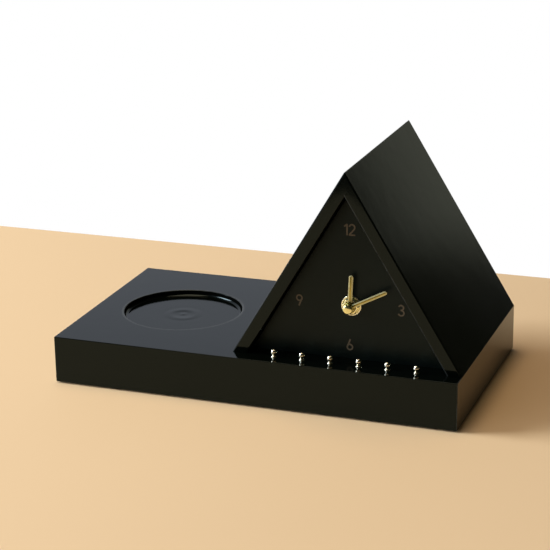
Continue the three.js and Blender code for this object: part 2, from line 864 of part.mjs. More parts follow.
function buildHousing() {
  const housing = new THREE.Group();
  wakeUpLight.add(housing);
  piece(housing, 'roof_left', roofBoard(-1), material.lacquer);
  piece(housing, 'roof_right', roofBoard(1), material.lacquer);
  const apex = fillingTriangle(fit, plinthHeight + innerRise - ridgeBlockHeight);
  piece(
    housing,
    'ridge_block',
    upright(apex, dialBack + seat, rearPanelFront - seat),
    material.wood,
  );
  piece(housing, 'rail_left', rail(-1), material.wood);
  piece(housing, 'rail_right', rail(1), material.wood);
  railScrewPlaces().forEach(([x, y], i) => {
    const headBottom = ceiling - seat - railScrewHead;
    const length = railScrewHead + seat + plinthTopThickness + seat + railScrewGrip;
    const head = railScrewDiameter * 2;
    const form = screw(x, y, headBottom, head, railScrewHead, railScrewDiameter, length, false);
    piece(housing, `rail_screw_${i + 1}`, form, material.steel);
  });
  piece(housing, 'dial_panel', dialPanel(), material.dial);
  piece(housing, 'rear_panel', rearPanel(), material.opal);
  piece(housing, 'panel_knob', panelKnob(), material.brass);
  piece(housing, 'led_bracket', ledBracket(), material.aluminium);
  piece(housing, 'led_board', ledBoard(), material.whitePlastic);
}

// Places in the movement's own frame: origin on the hands' axis at the case's front, +Y back
const coverFront = movementDepth + seat;
const coverBack = coverFront + coverThickness;
const hourWheelDepth = movementWall + fit;
const cannonDepth = hourWheelDepth + wheelThickness + fit + seat;
const minuteWheelDepth = cannonDepth + (pinionThickness - wheelThickness) / 2;
const centreWheelDepth = cannonDepth + pinionThickness + 2 * fit;
const motorDepth = centreWheelDepth + pinionThickness + fit;
const minuteAxis = [0, ((cannonTeeth + minuteWheelTeeth) / 2) * minuteWheelModule];
const settingAxis = [-minuteAxis[1], minuteAxis[1]];
const motorReach = ((centreWheelTeeth + motorPinionTeeth) / 2) * centreWheelModule;
const motorAxis = [motorReach * Math.SQRT1_2, motorReach * Math.SQRT1_2];
const batteryDepth = movementWall + fit + batteryDiameter / 2;
const batteryEnd = movementWidth / 2 - movementWall - seat - contactThickness - fit;
const batteryZ = -movementWidth / 2 + movementWall + fit + batteryDiameter / 2;
const washerBack = -seat - dialThickness - seat; // depth of the washer's rear face
const nutBack = washerBack - washerThickness - seat;
const neckEnd = nutBack - nutThickness - neckStandOut;
const hourHandBack = neckEnd - fit;
const hourHandFront = hourHandBack - handHubThickness;
const minuteHandBack = hourHandFront - fit;
const minuteHandFront = minuteHandBack - handHubThickness;
const capBack = minuteHandFront - seat;

// Spur gear outline with involute flanks, nearly straight on a large wheel; phase is the angle
// of one tooth's middle
function gearShape(teeth, toothModule, phase) {
  const pitch = (teeth * toothModule) / 2;
  const root = pitch - 1.2 * toothModule;
  const tip = pitch + 0.85 * toothModule;
  const base = pitch * Math.cos(THREE.MathUtils.degToRad(20));
  const involute = (r) => (r > base ? Math.sqrt((r / base) ** 2 - 1) - Math.acos(base / r) : 0);
  const halfAtPitch = (toothShare * Math.PI) / teeth;
  const halfAt = (r) => halfAtPitch + involute(pitch) - involute(r);
  const flank = (teeth > 20 ? [root, tip] : [root, pitch, tip]).map((r) => [r, halfAt(r)]);
  const sides = [...flank.map(([r, half]) => [r, -half]), ...flank.reverse()];
  const points = [];
  for (let tooth = 0; tooth < teeth; tooth += 1) {
    const middle = phase + (tooth * 2 * Math.PI) / teeth;
    for (const [r, turn] of sides) {
      points.push([r * Math.cos(middle + turn), r * Math.sin(middle + turn)]);
    }
  }
  return outline(points);
}

function gear(teeth, toothModule, phaseDegrees, [x, z], depth, thickness) {
  const shape = gearShape(teeth, toothModule, THREE.MathUtils.degToRad(phaseDegrees));
  return upright(shape, depth, depth + thickness).translate(x, 0, z);
}

function movementCase() {
  const half = movementWidth / 2;
  const inner = half - movementWall;
  const box = block(-half, half, 0, movementDepth, -half, half);
  const hollow = block(-inner, inner, movementWall, movementDepth + over, -inner, inner);
  const neck = rod(neckDiameter, 0, 0, neckEnd, movementWall / 2, 32);
  const bore = rod(hourTube[0] + 2 * fit, 0, 0, neckEnd - over, movementWall + over);
  const studLength = minuteWheelDepth + wheelThickness + fit;
  const stud = rod(arborDiameter, ...minuteAxis, movementWall - sink, studLength, 12);
  const shell = solidOf(box).subtract(solidOf(hollow)).add(solidOf(neck));
  return geometryOf(shell.subtract(solidOf(bore)).add(solidOf(stud)));
}

function movementCover() {
  const half = movementWidth / 2;
  const plate = block(-half, half, coverFront, coverBack, -half, half);
  const bayHalf = half - movementWall;
  const bayTop = batteryZ + batteryDiameter / 2 + fit;
  const [near, far] = [coverFront - over, coverBack + over];
  const bay = block(-bayHalf, bayHalf, near, far, -half + movementWall, bayTop);
  const bearing = rod(arborDiameter + 2 * fit, 0, 0, near, far, 16);
  const stemHole = rod(settingStemDiameter + 2 * fit, ...settingAxis, near, far, 16);
  return cut(plate, bay, bearing, stemHole);
}

function batteryForm() {
  const radius = batteryDiameter / 2;
  const [nubDiameter, nubHeight] = batteryNub;
  const shoulder = batteryLength - nubHeight;
  const profile = [
    [0, 0],
    [radius - batteryEdge, 0],
    [radius, batteryEdge],
    [radius, shoulder - batteryEdge],
    [radius - batteryEdge, shoulder],
    [nubDiameter / 2, shoulder],
    [nubDiameter / 2, batteryLength],
    [0, batteryLength],
  ];
  const start = batteryEnd - batteryLength;
  return turned(profile, 16).rotateZ(-Math.PI / 2).translate(start, batteryDepth, batteryZ);
}

function batteryContact(side) {
  const wall = movementWidth / 2 - movementWall - seat;
  const inner = side > 0 ? batteryEnd + fit : -(batteryEnd - batteryLength - fit);
  const [near, far] = side > 0 ? [inner, wall] : [-wall, -inner];
  const [depth, height] = contactSize;
  return block(
    near,
    far,
    batteryDepth - depth / 2,
    batteryDepth + depth / 2,
    batteryZ - height / 2,
    batteryZ + height / 2,
  );
}

function hourWheel() {
  const wheel = gear(hourWheelTeeth, hourWheelModule, 90, [0, 0], hourWheelDepth, wheelThickness);
  const sleeve = rod(hourTube[0], 0, 0, hourHandFront + tubeSetback, hourWheelDepth + sink);
  const boreEnd = hourWheelDepth + wheelThickness + over;
  const bore = rod(hourTube[1], 0, 0, hourHandFront - over, boreEnd);
  return geometryOf(solidOf(wheel).add(solidOf(sleeve)).subtract(solidOf(bore)));
}

function cannonPinion() {
  const pinion = gear(cannonTeeth, minuteWheelModule, 90, [0, 0], cannonDepth, pinionThickness);
  const sleeve = rod(minuteTube[0], 0, 0, minuteHandFront + tubeSetback, cannonDepth + sink);
  const boreEnd = cannonDepth + pinionThickness + over;
  const bore = rod(minuteTube[1], 0, 0, minuteHandFront - over, boreEnd);
  return geometryOf(solidOf(pinion).add(solidOf(sleeve)).subtract(solidOf(bore)));
}

function minuteWheel() {
  const wheelPhase = 270 + 180 / minuteWheelTeeth;
  const pinionPhase = 270 + 180 / minutePinionTeeth;
  const wheel = gear(
    minuteWheelTeeth,
    minuteWheelModule,
    wheelPhase,
    minuteAxis,
    minuteWheelDepth,
    wheelThickness,
  );
  const pinion = gear(
    minutePinionTeeth,
    hourWheelModule,
    pinionPhase,
    minuteAxis,
    hourWheelDepth,
    minuteWheelDepth - hourWheelDepth + sink,
  );
  const bore = rod(arborDiameter + 2 * fit, ...minuteAxis, 0, movementDepth, 12);
  return geometryOf(solidOf(wheel).add(solidOf(pinion)).subtract(solidOf(bore)));
}

function centreWheel() {
  const wheel = gear(
    centreWheelTeeth,
    centreWheelModule,
    45,
    [0, 0],
    centreWheelDepth,
    wheelThickness,
  );
  return join(wheel, rod(arborDiameter, 0, 0, minuteHandFront + arborSetback, coverBack, 16));
}

function motorPinion() {
  const phase = 225 + 180 / motorPinionTeeth;
  const depth = centreWheelDepth - (pinionThickness - wheelThickness) / 2;
  const wheel = gear(
    motorPinionTeeth,
    centreWheelModule,
    phase,
    motorAxis,
    depth,
    pinionThickness,
  );
  const arbor = rod(arborDiameter, ...motorAxis, depth + sink, motorDepth + motorArborReach, 16);
  return join(wheel, arbor);
}

function motorBlock() {
  const near = motorAxis[0] - motorWall;
  const far = movementWidth / 2 - movementWall - seat;
  const body = block(near, far, motorDepth, coverFront - seat, near, far);
  const boreEnd = motorDepth + motorArborReach + fit;
  const bore = rod(arborDiameter + 2 * fit, ...motorAxis, motorDepth - over, boreEnd, 16);
  return cut(body, bore);
}

// Knob at the back of the movement, its stem and its pinion in mesh with the minute wheel
function settingKnob() {
  const pinion = gear(cannonTeeth, minuteWheelModule, 0, settingAxis, cannonDepth, pinionThickness);
  const knobFront = coverBack + fit;
  const [stemStart, stemEnd] = [cannonDepth + sink, knobFront + sink];
  const stem = rod(settingStemDiameter, ...settingAxis, stemStart, stemEnd, 16);
  const radius = settingKnobDiameter / 2;
  const rim = Array.from({ length: settingKnobGrips * 2 }, (_, i) => {
    const turn = (i * Math.PI) / settingKnobGrips;
    const r = i % 2 ? radius : radius - settingKnobGripDepth;
    return [r * Math.cos(turn), r * Math.sin(turn)];
  });
  const knobBack = knobFront + settingKnobThickness;
  const knob = upright(outline(rim), knobFront, knobBack, settingKnobGripDepth / 2);
  const [x, z] = settingAxis;
  return join(pinion, stem, knob.translate(x, 0, z));
}

function dialNut() {
  const corner = nutAcrossFlats / Math.sqrt(3);
  const hexagon = Array.from({ length: 6 }, (_, i) => {
    const turn = ((i + 0.5) * Math.PI) / 3;
    return [corner * Math.cos(turn), corner * Math.sin(turn)];
  });
  const front = nutBack - nutThickness;
  const body = upright(outline(hexagon), front, nutBack);
  const rounded = turned(
    [
      [0, front],
      [nutAcrossFlats / 2, front],
      [corner + nutChamfer / 4, front + nutChamfer],
      [corner + nutChamfer / 4, nutBack],
      [0, nutBack],
    ],
    36,
  );
  const bore = rod(neckDiameter + 2 * fit, 0, 0, front - over, nutBack + over);
  return cut(overlapOf(body, rounded), bore);
}

// Hand with a rounded tip on a round hub, turned clockwise from 12
function hand(length, width, hubDiameter, bore, frontDepth, backDepth, angle) {
  const half = width / 2;
  const shape = new THREE.Shape();
  shape.moveTo(-half, 0);
  shape.lineTo(half, 0);
  shape.lineTo(half, length - half);
  shape.absarc(0, length - half, half, 0, Math.PI, false);
  shape.closePath();
  const blade = upright(shape, backDepth - handThickness, backDepth, handChamfer);
  const hub = rod(hubDiameter, 0, 0, frontDepth, backDepth, 24);
  const hole = rod(bore, 0, 0, frontDepth - over, backDepth + over);
  const body = solidOf(blade).add(solidOf(hub)).subtract(solidOf(hole));
  return geometryOf(body).rotateY(THREE.MathUtils.degToRad(angle));
}

// Domed cap over the minute hand's tube
function handCap() {
  const radius = capDiameter / 2;
  const front = capBack - capHeight;
  const steps = 4;
  const crown = Array.from({ length: steps + 1 }, (_, i) => {
    const turn = (i * Math.PI) / 2 / steps;
    return [i === 0 ? 0 : radius * Math.sin(turn), front + capDome * (1 - Math.cos(turn))];
  });
  return turned([...crown, [radius, capBack], [0, capBack]], 24);
}

function buildMovement() {
  const movement = new THREE.Group();
  movement.position.set(hubX, dialBack + seat, hubZ);
  wakeUpLight.add(movement);
  piece(movement, 'movement_case', movementCase(), material.blackPlastic);
  piece(movement, 'movement_cover', movementCover(), material.blackPlastic);
  piece(movement, 'battery', batteryForm(), material.aluminium);
  piece(movement, 'contact_plus', batteryContact(1), material.steel);
  piece(movement, 'contact_minus', batteryContact(-1), material.steel);
  piece(movement, 'motor_block', motorBlock(), material.whitePlastic);
  piece(movement, 'motor_pinion', motorPinion(), material.whitePlastic);
  piece(movement, 'centre_wheel', centreWheel(), material.whitePlastic);
  piece(movement, 'cannon_pinion', cannonPinion(), material.brass);
  piece(movement, 'minute_wheel', minuteWheel(), material.whitePlastic);
  piece(movement, 'hour_wheel', hourWheel(), material.whitePlastic);
  piece(movement, 'setting_knob', settingKnob(), material.blackPlastic);
  const neckHole = neckDiameter + 2 * fit;
  const washer = tube(washerDiameter, neckHole, 0, 0, washerBack - washerThickness, washerBack, 28);
  piece(movement, 'dial_washer', washer, material.brass);
  piece(movement, 'dial_nut', dialNut(), material.brass);
  const hourHand = hand(
    hourHandLength,
    hourHandWidth,
    hourHubDiameter,
    hourTube[0] + fit,
    hourHandFront,
    hourHandBack,
    hourAngle,
  );
  piece(movement, 'hour_hand', hourHand, material.brass);
  const minuteHand = hand(
    minuteHandLength,
    minuteHandWidth,
    minuteHubDiameter,
    minuteTube[0] + fit,
    minuteHandFront,
    minuteHandBack,
    minuteAngle,
  );
  piece(movement, 'minute_hand', minuteHand, material.brass);
  piece(movement, 'hand_cap', handCap(), material.brass);
}

buildPlinth();
buildHousing();
buildMovement();

export default wakeUpLight;
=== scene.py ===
# %% [markdown]
# A wake-up light in black lacquer: a low plinth with a round tray on its left, and on its right
# an A-shaped housing of two mitred boards with a sunk clock dial. The construction is loaded as a
# fixed frame, in metres, and this notebook gives it its finished skins: rounded lacquered boards,
# raised numerals, bevelled brass hands, polished ball buttons and the opal panel at the back.

# %% Load the fixed frame
import json
import math

import bmesh
import bpy
from mathutils import Matrix, Vector


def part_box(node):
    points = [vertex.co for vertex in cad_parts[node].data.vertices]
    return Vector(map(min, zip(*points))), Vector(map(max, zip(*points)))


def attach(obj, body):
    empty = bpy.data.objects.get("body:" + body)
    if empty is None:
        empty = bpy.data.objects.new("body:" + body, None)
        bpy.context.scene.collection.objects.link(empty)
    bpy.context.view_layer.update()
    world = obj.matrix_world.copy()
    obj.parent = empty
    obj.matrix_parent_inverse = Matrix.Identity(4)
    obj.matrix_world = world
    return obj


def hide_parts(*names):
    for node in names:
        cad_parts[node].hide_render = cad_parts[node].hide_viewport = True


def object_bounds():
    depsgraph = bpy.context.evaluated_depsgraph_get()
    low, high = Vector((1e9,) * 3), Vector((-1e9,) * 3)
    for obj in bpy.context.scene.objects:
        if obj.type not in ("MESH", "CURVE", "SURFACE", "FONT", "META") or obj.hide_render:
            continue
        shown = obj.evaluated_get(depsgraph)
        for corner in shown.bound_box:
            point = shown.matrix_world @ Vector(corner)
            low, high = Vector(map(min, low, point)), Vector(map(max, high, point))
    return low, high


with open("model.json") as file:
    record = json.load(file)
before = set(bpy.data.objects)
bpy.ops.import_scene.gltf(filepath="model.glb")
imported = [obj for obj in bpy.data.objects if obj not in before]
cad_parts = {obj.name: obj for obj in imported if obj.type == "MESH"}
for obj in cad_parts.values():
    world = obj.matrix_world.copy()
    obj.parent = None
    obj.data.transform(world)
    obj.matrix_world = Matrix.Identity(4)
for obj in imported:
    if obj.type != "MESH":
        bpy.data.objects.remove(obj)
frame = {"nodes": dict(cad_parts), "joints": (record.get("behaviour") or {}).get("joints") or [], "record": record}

cad_low, cad_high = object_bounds()
mm = 0.001
print("frame box", [round(v, 4) for v in cad_low], [round(v, 4) for v in cad_high])

# %% [markdown]
# The frame knows which body carries each node, where the hands' axis is, and where the tray's
# floor lies. Reading these once keeps every new piece tied to the construction, so nothing has to
# be measured again by eye. The housing reaches to the plinth's right end, so its ridge stands
# half of the housing's width in from there.

# %% Read the places that the new pieces need
behaviour = frame["record"]["behaviour"]
body_of = {node: body for body, nodes in behaviour["bodies"].items() for node in nodes}
joint_place = {joint["name"]: joint.get("pos_m") for joint in frame["joints"]}
mount_place = {mount["name"]: Vector(mount["pos_m"]) for mount in frame["record"]["mounts"]}
hub_x, _, hub_z = joint_place["minute_turn"]
tray_middle = mount_place["tray_floor"]
half_base = 83 * mm
house_x = cad_high.x - half_base
print("hub at", hub_x, hub_z, "ridge at", round(house_x, 4), "tray floor at", tray_middle)

# %% [markdown]
# The photograph was taken with a long lens from the front right, a little above the table. A long
# lens far away keeps the plinth's edges nearly parallel, so the camera is placed by its angles
# round the object and its distance, and then slid a little to the left and up to frame it.

# %% Camera
azimuth = math.radians(20.283)
elevation = math.radians(18.360)
roll = math.radians(-0.926)
distance = 1.3479
slide_right = -0.01038
slide_up = 0.06717

back = Vector((
    math.sin(azimuth) * math.cos(elevation),
    -math.cos(azimuth) * math.cos(elevation),
    math.sin(elevation),
))
level_right = Vector((0, 0, 1)).cross(back).normalized()
level_up = back.cross(level_right)
camera_right = math.cos(roll) * level_right + math.sin(roll) * level_up
camera_up = math.cos(roll) * level_up - math.sin(roll) * level_right

camera = bpy.data.objects.new("camera", bpy.data.cameras.new("camera"))
bpy.context.scene.collection.objects.link(camera)
camera.data.lens = 118.8
camera.data.sensor_width = 36
camera.data.clip_start = 0.05
camera.data.clip_end = 60
camera.matrix_world = Matrix.Translation(
    back * distance + camera_right * slide_right + camera_up * slide_up
) @ Matrix((camera_right, camera_up, back)).transposed().to_4x4()
bpy.context.scene.camera = camera
bpy.context.scene.view_settings.view_transform = "Standard"
print("camera at", [round(v, 3) for v in camera.location])

# %% [markdown]
# A finish is a small graph of shader nodes. Written as plain sums it stays readable, so one class
# wraps a socket and lets Python's own operators add the Math nodes. Every node comes from one
# method, which sets the node's own settings before it fills or links the sockets. The finish
# itself can lay a matt near-black paint over its gloss as painted shade, for places that shouldn't
# mirror anything.


# %% Shader sums written in Python
class Wire:
    """A socket of a graph; arithmetic on it adds the Math nodes that work it out."""

    def __init__(self, graph, socket):
        self.graph = graph
        self.socket = socket

    def __add__(self, other):
        return self.graph.math("ADD", self, other)

    def __sub__(self, other):
        return self.graph.math("SUBTRACT", self, other)

    def __rsub__(self, other):
        return self.graph.math("SUBTRACT", other, self)

    def __mul__(self, other):
        return self.graph.math("MULTIPLY", self, other)

    __radd__ = __add__
    __rmul__ = __mul__


class Graph:
    """The node tree of a material or of the world."""

    def __init__(self, owner):
        owner.use_nodes = True
        self.tree = owner.node_tree

    def node(self, kind, settings, sockets, output=0):
        """Makes a node with its settings, then fills its sockets; gives one of its outputs."""
        node = self.tree.nodes.new(kind)
        for name, value in settings.items():
            setattr(node, name, value)
        for name, value in sockets.items():
            self.feed(node.inputs[name], value)
        return Wire(self, node.outputs[output])

    def math(self, operation, first, second=0.0):
        """A Math node on wires or plain numbers."""
        return self.node("ShaderNodeMath", {"operation": operation}, {0: first, 1: second})

    def feed(self, socket, value):
        """Links a wire to a socket, or writes a plain value in it."""
        if isinstance(value, Wire):
            self.tree.links.new(value.socket, socket)
        else:
            socket.default_value = value


class Finish(Graph):
    """A material with one main shader, whose fixed sockets are named when it is made."""

    def __init__(self, name, **fixed):
        self.material = bpy.data.materials.new(name)
        super().__init__(self.material)
        self.shader = self.tree.nodes["Principled BSDF"]
        self.paint(**fixed)

    def paint(self, **sockets):
        """Fills sockets of the main shader, named with _ for a space; gives the material."""
        for name, value in sockets.items():
            self.feed(self.shader.inputs[name.replace("_", " ")], value)
        return self.material

    def shade_over(self, share, colour):
        """Mixes a plain dull paint over the main shader where the share is high, as painted shade."""
        painted_shade = self.node("ShaderNodeBsdfDiffuse", {}, {"Color": colour})
        shader = Wire(self, self.shader.outputs["BSDF"])
        both = self.node("ShaderNodeMixShader", {}, {0: share, 1: shader, 2: painted_shade})
        self.feed(self.tree.nodes["Material Output"].inputs["Surface"], both)


print("a graph now takes the operators + - and *")

# %% [markdown]
# Most finishes need the same few ingredients: where a point lies on the object, a soft random
# pattern of a given size, a threshold with a soft edge, a mark that a face was given, a mix of
# two colours and a bump. Sizes are written in millimetres because that is how one thinks about
# grain and scratches.


# %% Ingredients that the finishes share
def place(finish, stretch=(1, 1, 1), centre=(0, 0, 0)):
    """Object coordinates, measured from a centre and stretched along each axis."""
    point = finish.node("ShaderNodeTexCoord", {}, {}, "Object")
    shift = tuple(-c * s for c, s in zip(centre, stretch))
    sockets = {"Vector": point, "Location": shift, "Scale": stretch}
    return finish.node("ShaderNodeMapping", {}, sockets)


def axis_of(finish, vector, axis):
    """One of a vector's three numbers, X, Y or Z."""
    return finish.node("ShaderNodeSeparateXYZ", {}, {0: vector}, "XYZ".index(axis))


def speckle(finish, vector, size, detail=2.0, rough=0.5):
    """Random pattern from 0 to 1 whose blobs are about size across."""
    sockets = {"Vector": vector, "Scale": 1 / size, "Detail": detail, "Roughness": rough}
    return finish.node("ShaderNodeTexNoise", {}, sockets)


def above(finish, value, low, high):
    """0 up to low, 1 from high on and a smooth step between; it falls where low is the greater."""
    sockets = {"Value": value, "From Min": low, "From Max": high}
    return finish.node("ShaderNodeMapRange", {"interpolation_type": "SMOOTHSTEP"}, sockets)


def marked(finish, name):
    """How strongly a face was given a mark of this name when its piece was modelled."""
    return finish.node("ShaderNodeAttribute", {"attribute_name": name}, {}, "Fac")


def mixed(finish, share, colour, other):
    """The first colour where the share is 0, the other one where it is 1."""
    settings = {"data_type": "RGBA"}
    return finish.node("ShaderNodeMix", settings, {0: share, 6: colour, 7: other}, 2)


def bump(finish, height, depth):
    """A normal that makes a pattern look as if it stood up by so much."""
    sockets = {"Height": height, "Distance": depth, "Strength": 1.0}
    return finish.node("ShaderNodeBump", {}, sockets)


def rgb(red, green, blue):
    """A colour given as it looks on a screen, from 0 to 255, in the linear values of a shader."""
    def linear(value):
        share = value / 255
        return share / 12.92 if share <= 0.04045 else ((share + 0.055) / 1.055) ** 2.4

    return (linear(red), linear(green), linear(blue), 1.0)


print("a mid grey of 128 is", round(rgb(128, 128, 128)[0], 3), "in a shader")

# %% [markdown]
# The tray was milled into the plinth and lacquered with it, and three parts of it look different:
# the flat floor keeps faint rings from turning, the rim is painted paler, partly as rubbed paint and
# partly as a painted highlight, and the wall gets a matt near-black, which is painted shade. Each
# could be a piece with a finish of its own, but the paint has no seam there. So one finish covers
# all, and masks worked out from the height and from the distance to the tray's centre say where
# each part begins.

# %% Masks of the tray
tray_radius = 44 * mm
rim_radius = 1.2 * mm
fine_ring, broad_ring = 0.55 * mm, 2 * mm
tray_floor = tray_middle.z
casing_low, casing_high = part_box("base_casing")


def floor_rings(finish, point, radius, height):
    """Fine rings all over the flat floor, and broader ones near its centre."""
    wobble = speckle(finish, point, 30 * mm, 1) * 5
    fine = finish.math("SINE", radius * (1 / fine_ring) + wobble)
    broad = finish.math("COSINE", radius * (1 / broad_ring) + wobble * 0.4)
    rings = fine * 0.12 + broad * above(finish, radius, 20 * mm, 7 * mm) * 5
    inside = above(finish, radius, tray_radius, tray_radius - 2 * mm)
    return rings * (inside * above(finish, height, tray_floor + 1 * mm, tray_floor))


def rim_highlight(finish, radius, height):
    """Where the rim's highlight is painted: 1 on the rounded rim and the first bit of the top round it, 0
    elsewhere.
    """
    from_rim = radius - (tray_radius + rim_radius)
    rising = above(finish, from_rim, -0.8 * mm, -0.3 * mm)
    falling = above(finish, from_rim, 1.2 * mm, 0.5 * mm)
    on_top = above(finish, height, tray_floor + 1.5 * mm, tray_floor + 2.5 * mm)
    return rising * falling * on_top


def tray_wall(finish, radius, height):
    """1 on the wall, from halfway up the cove at its foot to just below the plinth's top."""
    over_floor = above(finish, height, tray_floor + 0.9 * mm, tray_floor + 1.3 * mm)
    under_top = above(finish, height, casing_high.z - 0.1 * mm, casing_high.z - 0.5 * mm)
    within = above(finish, radius, tray_radius + 2 * mm, tray_radius + 1.8 * mm)
    return over_floor * under_top * within


print("the masks reach from", round(tray_floor, 4), "to", round(casing_high.z, 4), "in height")

# %% [markdown]
# The lacquer is black paint over fibreboard, rubbed to a satin gloss. Nearly everything one sees
# of it is reflection, so its own colour is close to nothing and the detail sits in the gloss: a
# fine orange peel and a slow ripple from the board below. Marked edges are painted paler, partly
# as rubbed paint and partly as a painted highlight along the roundings. The tray's wall and the
# inner faces of the housing get a matt near-black in place of gloss: painted shade where they
# show no reflection.


# %% Black lacquer
def black_lacquer():
    finish = Finish("black_lacquer", Specular_IOR_Level=0.26, Specular_Tint=(0.74, 0.96, 1, 1))
    point = place(finish)
    height = axis_of(finish, point, "Z")
    from_tray = place(finish, (1, 1, 0), tray_middle)
    radius = finish.node("ShaderNodeVectorMath", {"operation": "LENGTH"}, {0: from_tray}, "Value")

    cloud = speckle(finish, point, 40 * mm, 3)
    peel = speckle(finish, point, 1.1 * mm, 2)
    ripple = speckle(finish, point, 14 * mm, 1)
    scuff = speckle(finish, place(finish, (1, 7, 7)), 6 * mm, 4, 0.6)
    patches = above(finish, speckle(finish, point, 5 * mm, 3), 0.3, 0.65)
    # Paler on marked edges and on the tray's rim: partly paint wear, partly a painted highlight
    wear_and_highlight = marked(finish, "edge") * (0.25 + 0.75 * patches)
    wear_and_highlight = finish.math("MAXIMUM", wear_and_highlight, rim_highlight(finish, radius, height) * 0.8)

    colour = mixed(finish, cloud, (0.0007, 0.0012, 0.0007, 1), (0.0013, 0.0020, 0.0013, 1))
    colour = mixed(finish, wear_and_highlight, colour, (0.042, 0.044, 0.043, 1))
    roughness = 0.085 + cloud * 0.03 + above(finish, scuff, 0.55, 0.8) * 0.04 + wear_and_highlight * 0.12
    relief = peel * 0.4 + ripple * 1.2 + floor_rings(finish, point, radius, height)
    # Dull near-black on the tray's wall and the housing's inner faces: painted shade instead of gloss
    painted_shade = finish.math("MAXIMUM", tray_wall(finish, radius, height), marked(finish, "flat"))
    finish.shade_over(painted_shade, (0.0012, 0.0014, 0.0012, 1))
    return finish.paint(
        Base_Color=colour, Roughness=roughness, Normal=bump(finish, relief, 0.02 * mm)
    )


lacquer = black_lacquer()
print("made", lacquer.name)

# %% [markdown]
# The dial is the same black but sprayed flat, so it shows no mirror image: a rougher surface with
# a fine grain. The numerals on it are a thin raised print in dark bronze.


# %% Dial black and bronze print
def dial_black():
    finish = Finish("dial_black", Specular_IOR_Level=0.24, Specular_Tint=(0.78, 0.98, 1, 1))
    point = place(finish)
    grain = speckle(finish, point, 0.5 * mm, 3)
    cloud = speckle(finish, point, 25 * mm, 3)
    colour = mixed(finish, cloud, (0.0010, 0.0024, 0.0018, 1), (0.0020, 0.0036, 0.0030, 1))
    return finish.paint(
        Base_Color=colour, Roughness=0.34 + cloud * 0.08, Normal=bump(finish, grain, 0.02 * mm)
    )


def bronze_print():
    finish = Finish("bronze_print", Specular_IOR_Level=0.3)
    point = place(finish)
    patch = speckle(finish, point, 6 * mm, 3)
    grain = speckle(finish, point, 0.3 * mm, 2)
    colour = mixed(finish, patch, rgb(62, 58, 46), rgb(92, 80, 66))
    return finish.paint(
        Base_Color=colour, Roughness=0.45 + grain * 0.1, Normal=bump(finish, grain, 0.01 * mm)
    )


dial_paint = dial_black()
print_paint = bronze_print()
print("made", dial_paint.name, "and", print_paint.name)

# %% [markdown]
# The hands, the washer and the nut are brass, the balls a paler gold polish. A metal's colour is
# the colour of its reflection, so it is set on the base colour with full metallic. All have faint
# patches of tarnish and tiny pits, brass is painted paler and blunter where a rim was marked, partly
# as polish and partly as a painted highlight, and only the rolled aluminium sheet has its grain
# drawn out into streaks.


# %% Metals
def metal(
    name, colour, tarnish, roughness, grain_size, grain_depth,
    stretch=(1, 1, 1), rim=None, rim_blur=0,
):
    finish = Finish(name, Metallic=1.0)
    patch = speckle(finish, place(finish), 4 * mm, 3)
    grain = speckle(finish, place(finish, stretch), grain_size, 3)
    base = mixed(finish, above(finish, patch, 0.35, 0.75), colour, tarnish)
    blur = roughness + grain * (roughness * 0.6) + patch * (roughness * 0.3)
    # Where a rim was marked the brass is paler and blunter: partly a painted highlight
    if rim:
        edge = marked(finish, "edge")
        base = mixed(finish, edge, base, rim)
        blur = blur + edge * rim_blur
    return finish.paint(Base_Color=base, Roughness=blur, Normal=bump(finish, grain, grain_depth))


# The pale rim colours are polish and partly painted highlights on the rims
brass = metal(
    "brass", rgb(250, 247, 188), rgb(242, 235, 158), 0.13, 0.4 * mm, 0.002 * mm,
    rim=rgb(254, 254, 226), rim_blur=0.04,
)
hand_brass = metal(
    "hand_brass", rgb(172, 164, 92), rgb(154, 142, 72), 0.16, 0.3 * mm, 0.003 * mm,
    rim=rgb(206, 206, 164), rim_blur=0.25,
)
pale_gold = metal(
    "pale_gold", rgb(246, 242, 226), rgb(238, 230, 204), 0.09, 0.5 * mm, 0.0008 * mm
)
steel = metal(
    "zinc_steel", rgb(186, 188, 190), rgb(160, 160, 158), 0.26, 0.6 * mm, 0.006 * mm
)
aluminium = metal(
    "aluminium_sheet", rgb(214, 215, 217), rgb(196, 197, 200), 0.32, 0.5 * mm, 0.006 * mm,
    stretch=(1, 12, 12),
)
print("made", *(paint.name for paint in (brass, hand_brass, pale_gold, steel, aluminium)))

# %% [markdown]
# Moulded plastic, rubber and the circuit boards' solder mask differ in colour, gloss and grain
# only. One function makes them all: a base colour that drifts a little, and a fine moulded grain.
# The opal panel also lets light wander under its surface, which makes it look milky.


# %% Plastics, rubber and circuit board
def moulded(name, colour, drift, roughness, grain_size, grain_depth, **fixed):
    finish = Finish(name, **fixed)
    point = place(finish)
    patch = speckle(finish, point, 9 * mm, 3)
    grain = speckle(finish, point, grain_size, 2)
    return finish.paint(
        Base_Color=mixed(finish, patch, colour, drift),
        Roughness=roughness + grain * 0.12,
        Normal=bump(finish, grain, grain_depth),
    )


black_plastic = moulded(
    "black_plastic", rgb(24, 24, 25), rgb(32, 32, 32), 0.42, 0.5 * mm, 0.02 * mm
)
white_plastic = moulded(
    "white_plastic", rgb(232, 229, 220), rgb(222, 218, 207), 0.4, 0.8 * mm, 0.01 * mm
)
rubber = moulded("rubber", rgb(18, 18, 18), rgb(28, 27, 26), 0.75, 0.4 * mm, 0.02 * mm)
circuit = moulded("solder_mask", rgb(20, 92, 48), rgb(14, 74, 40), 0.35, 1.2 * mm, 0.02 * mm)
opal = moulded(
    "opal_plastic", rgb(240, 236, 226), rgb(234, 229, 216), 0.3, 1.5 * mm, 0.01 * mm,
    Subsurface_Weight=0.25, Subsurface_Radius=(4 * mm, 3.6 * mm, 3 * mm),
)
print("made", *(paint.name for paint in (black_plastic, white_plastic, rubber, circuit, opal)))

# %% [markdown]
# The rails and the ridge block inside are plain sanded wood. Its rings are stretched far along the
# board, so the pattern is a noise squeezed across the grain, with darker late wood on one side of
# each ring. The battery wears a plain wrap in two tones, dark grey and tan.


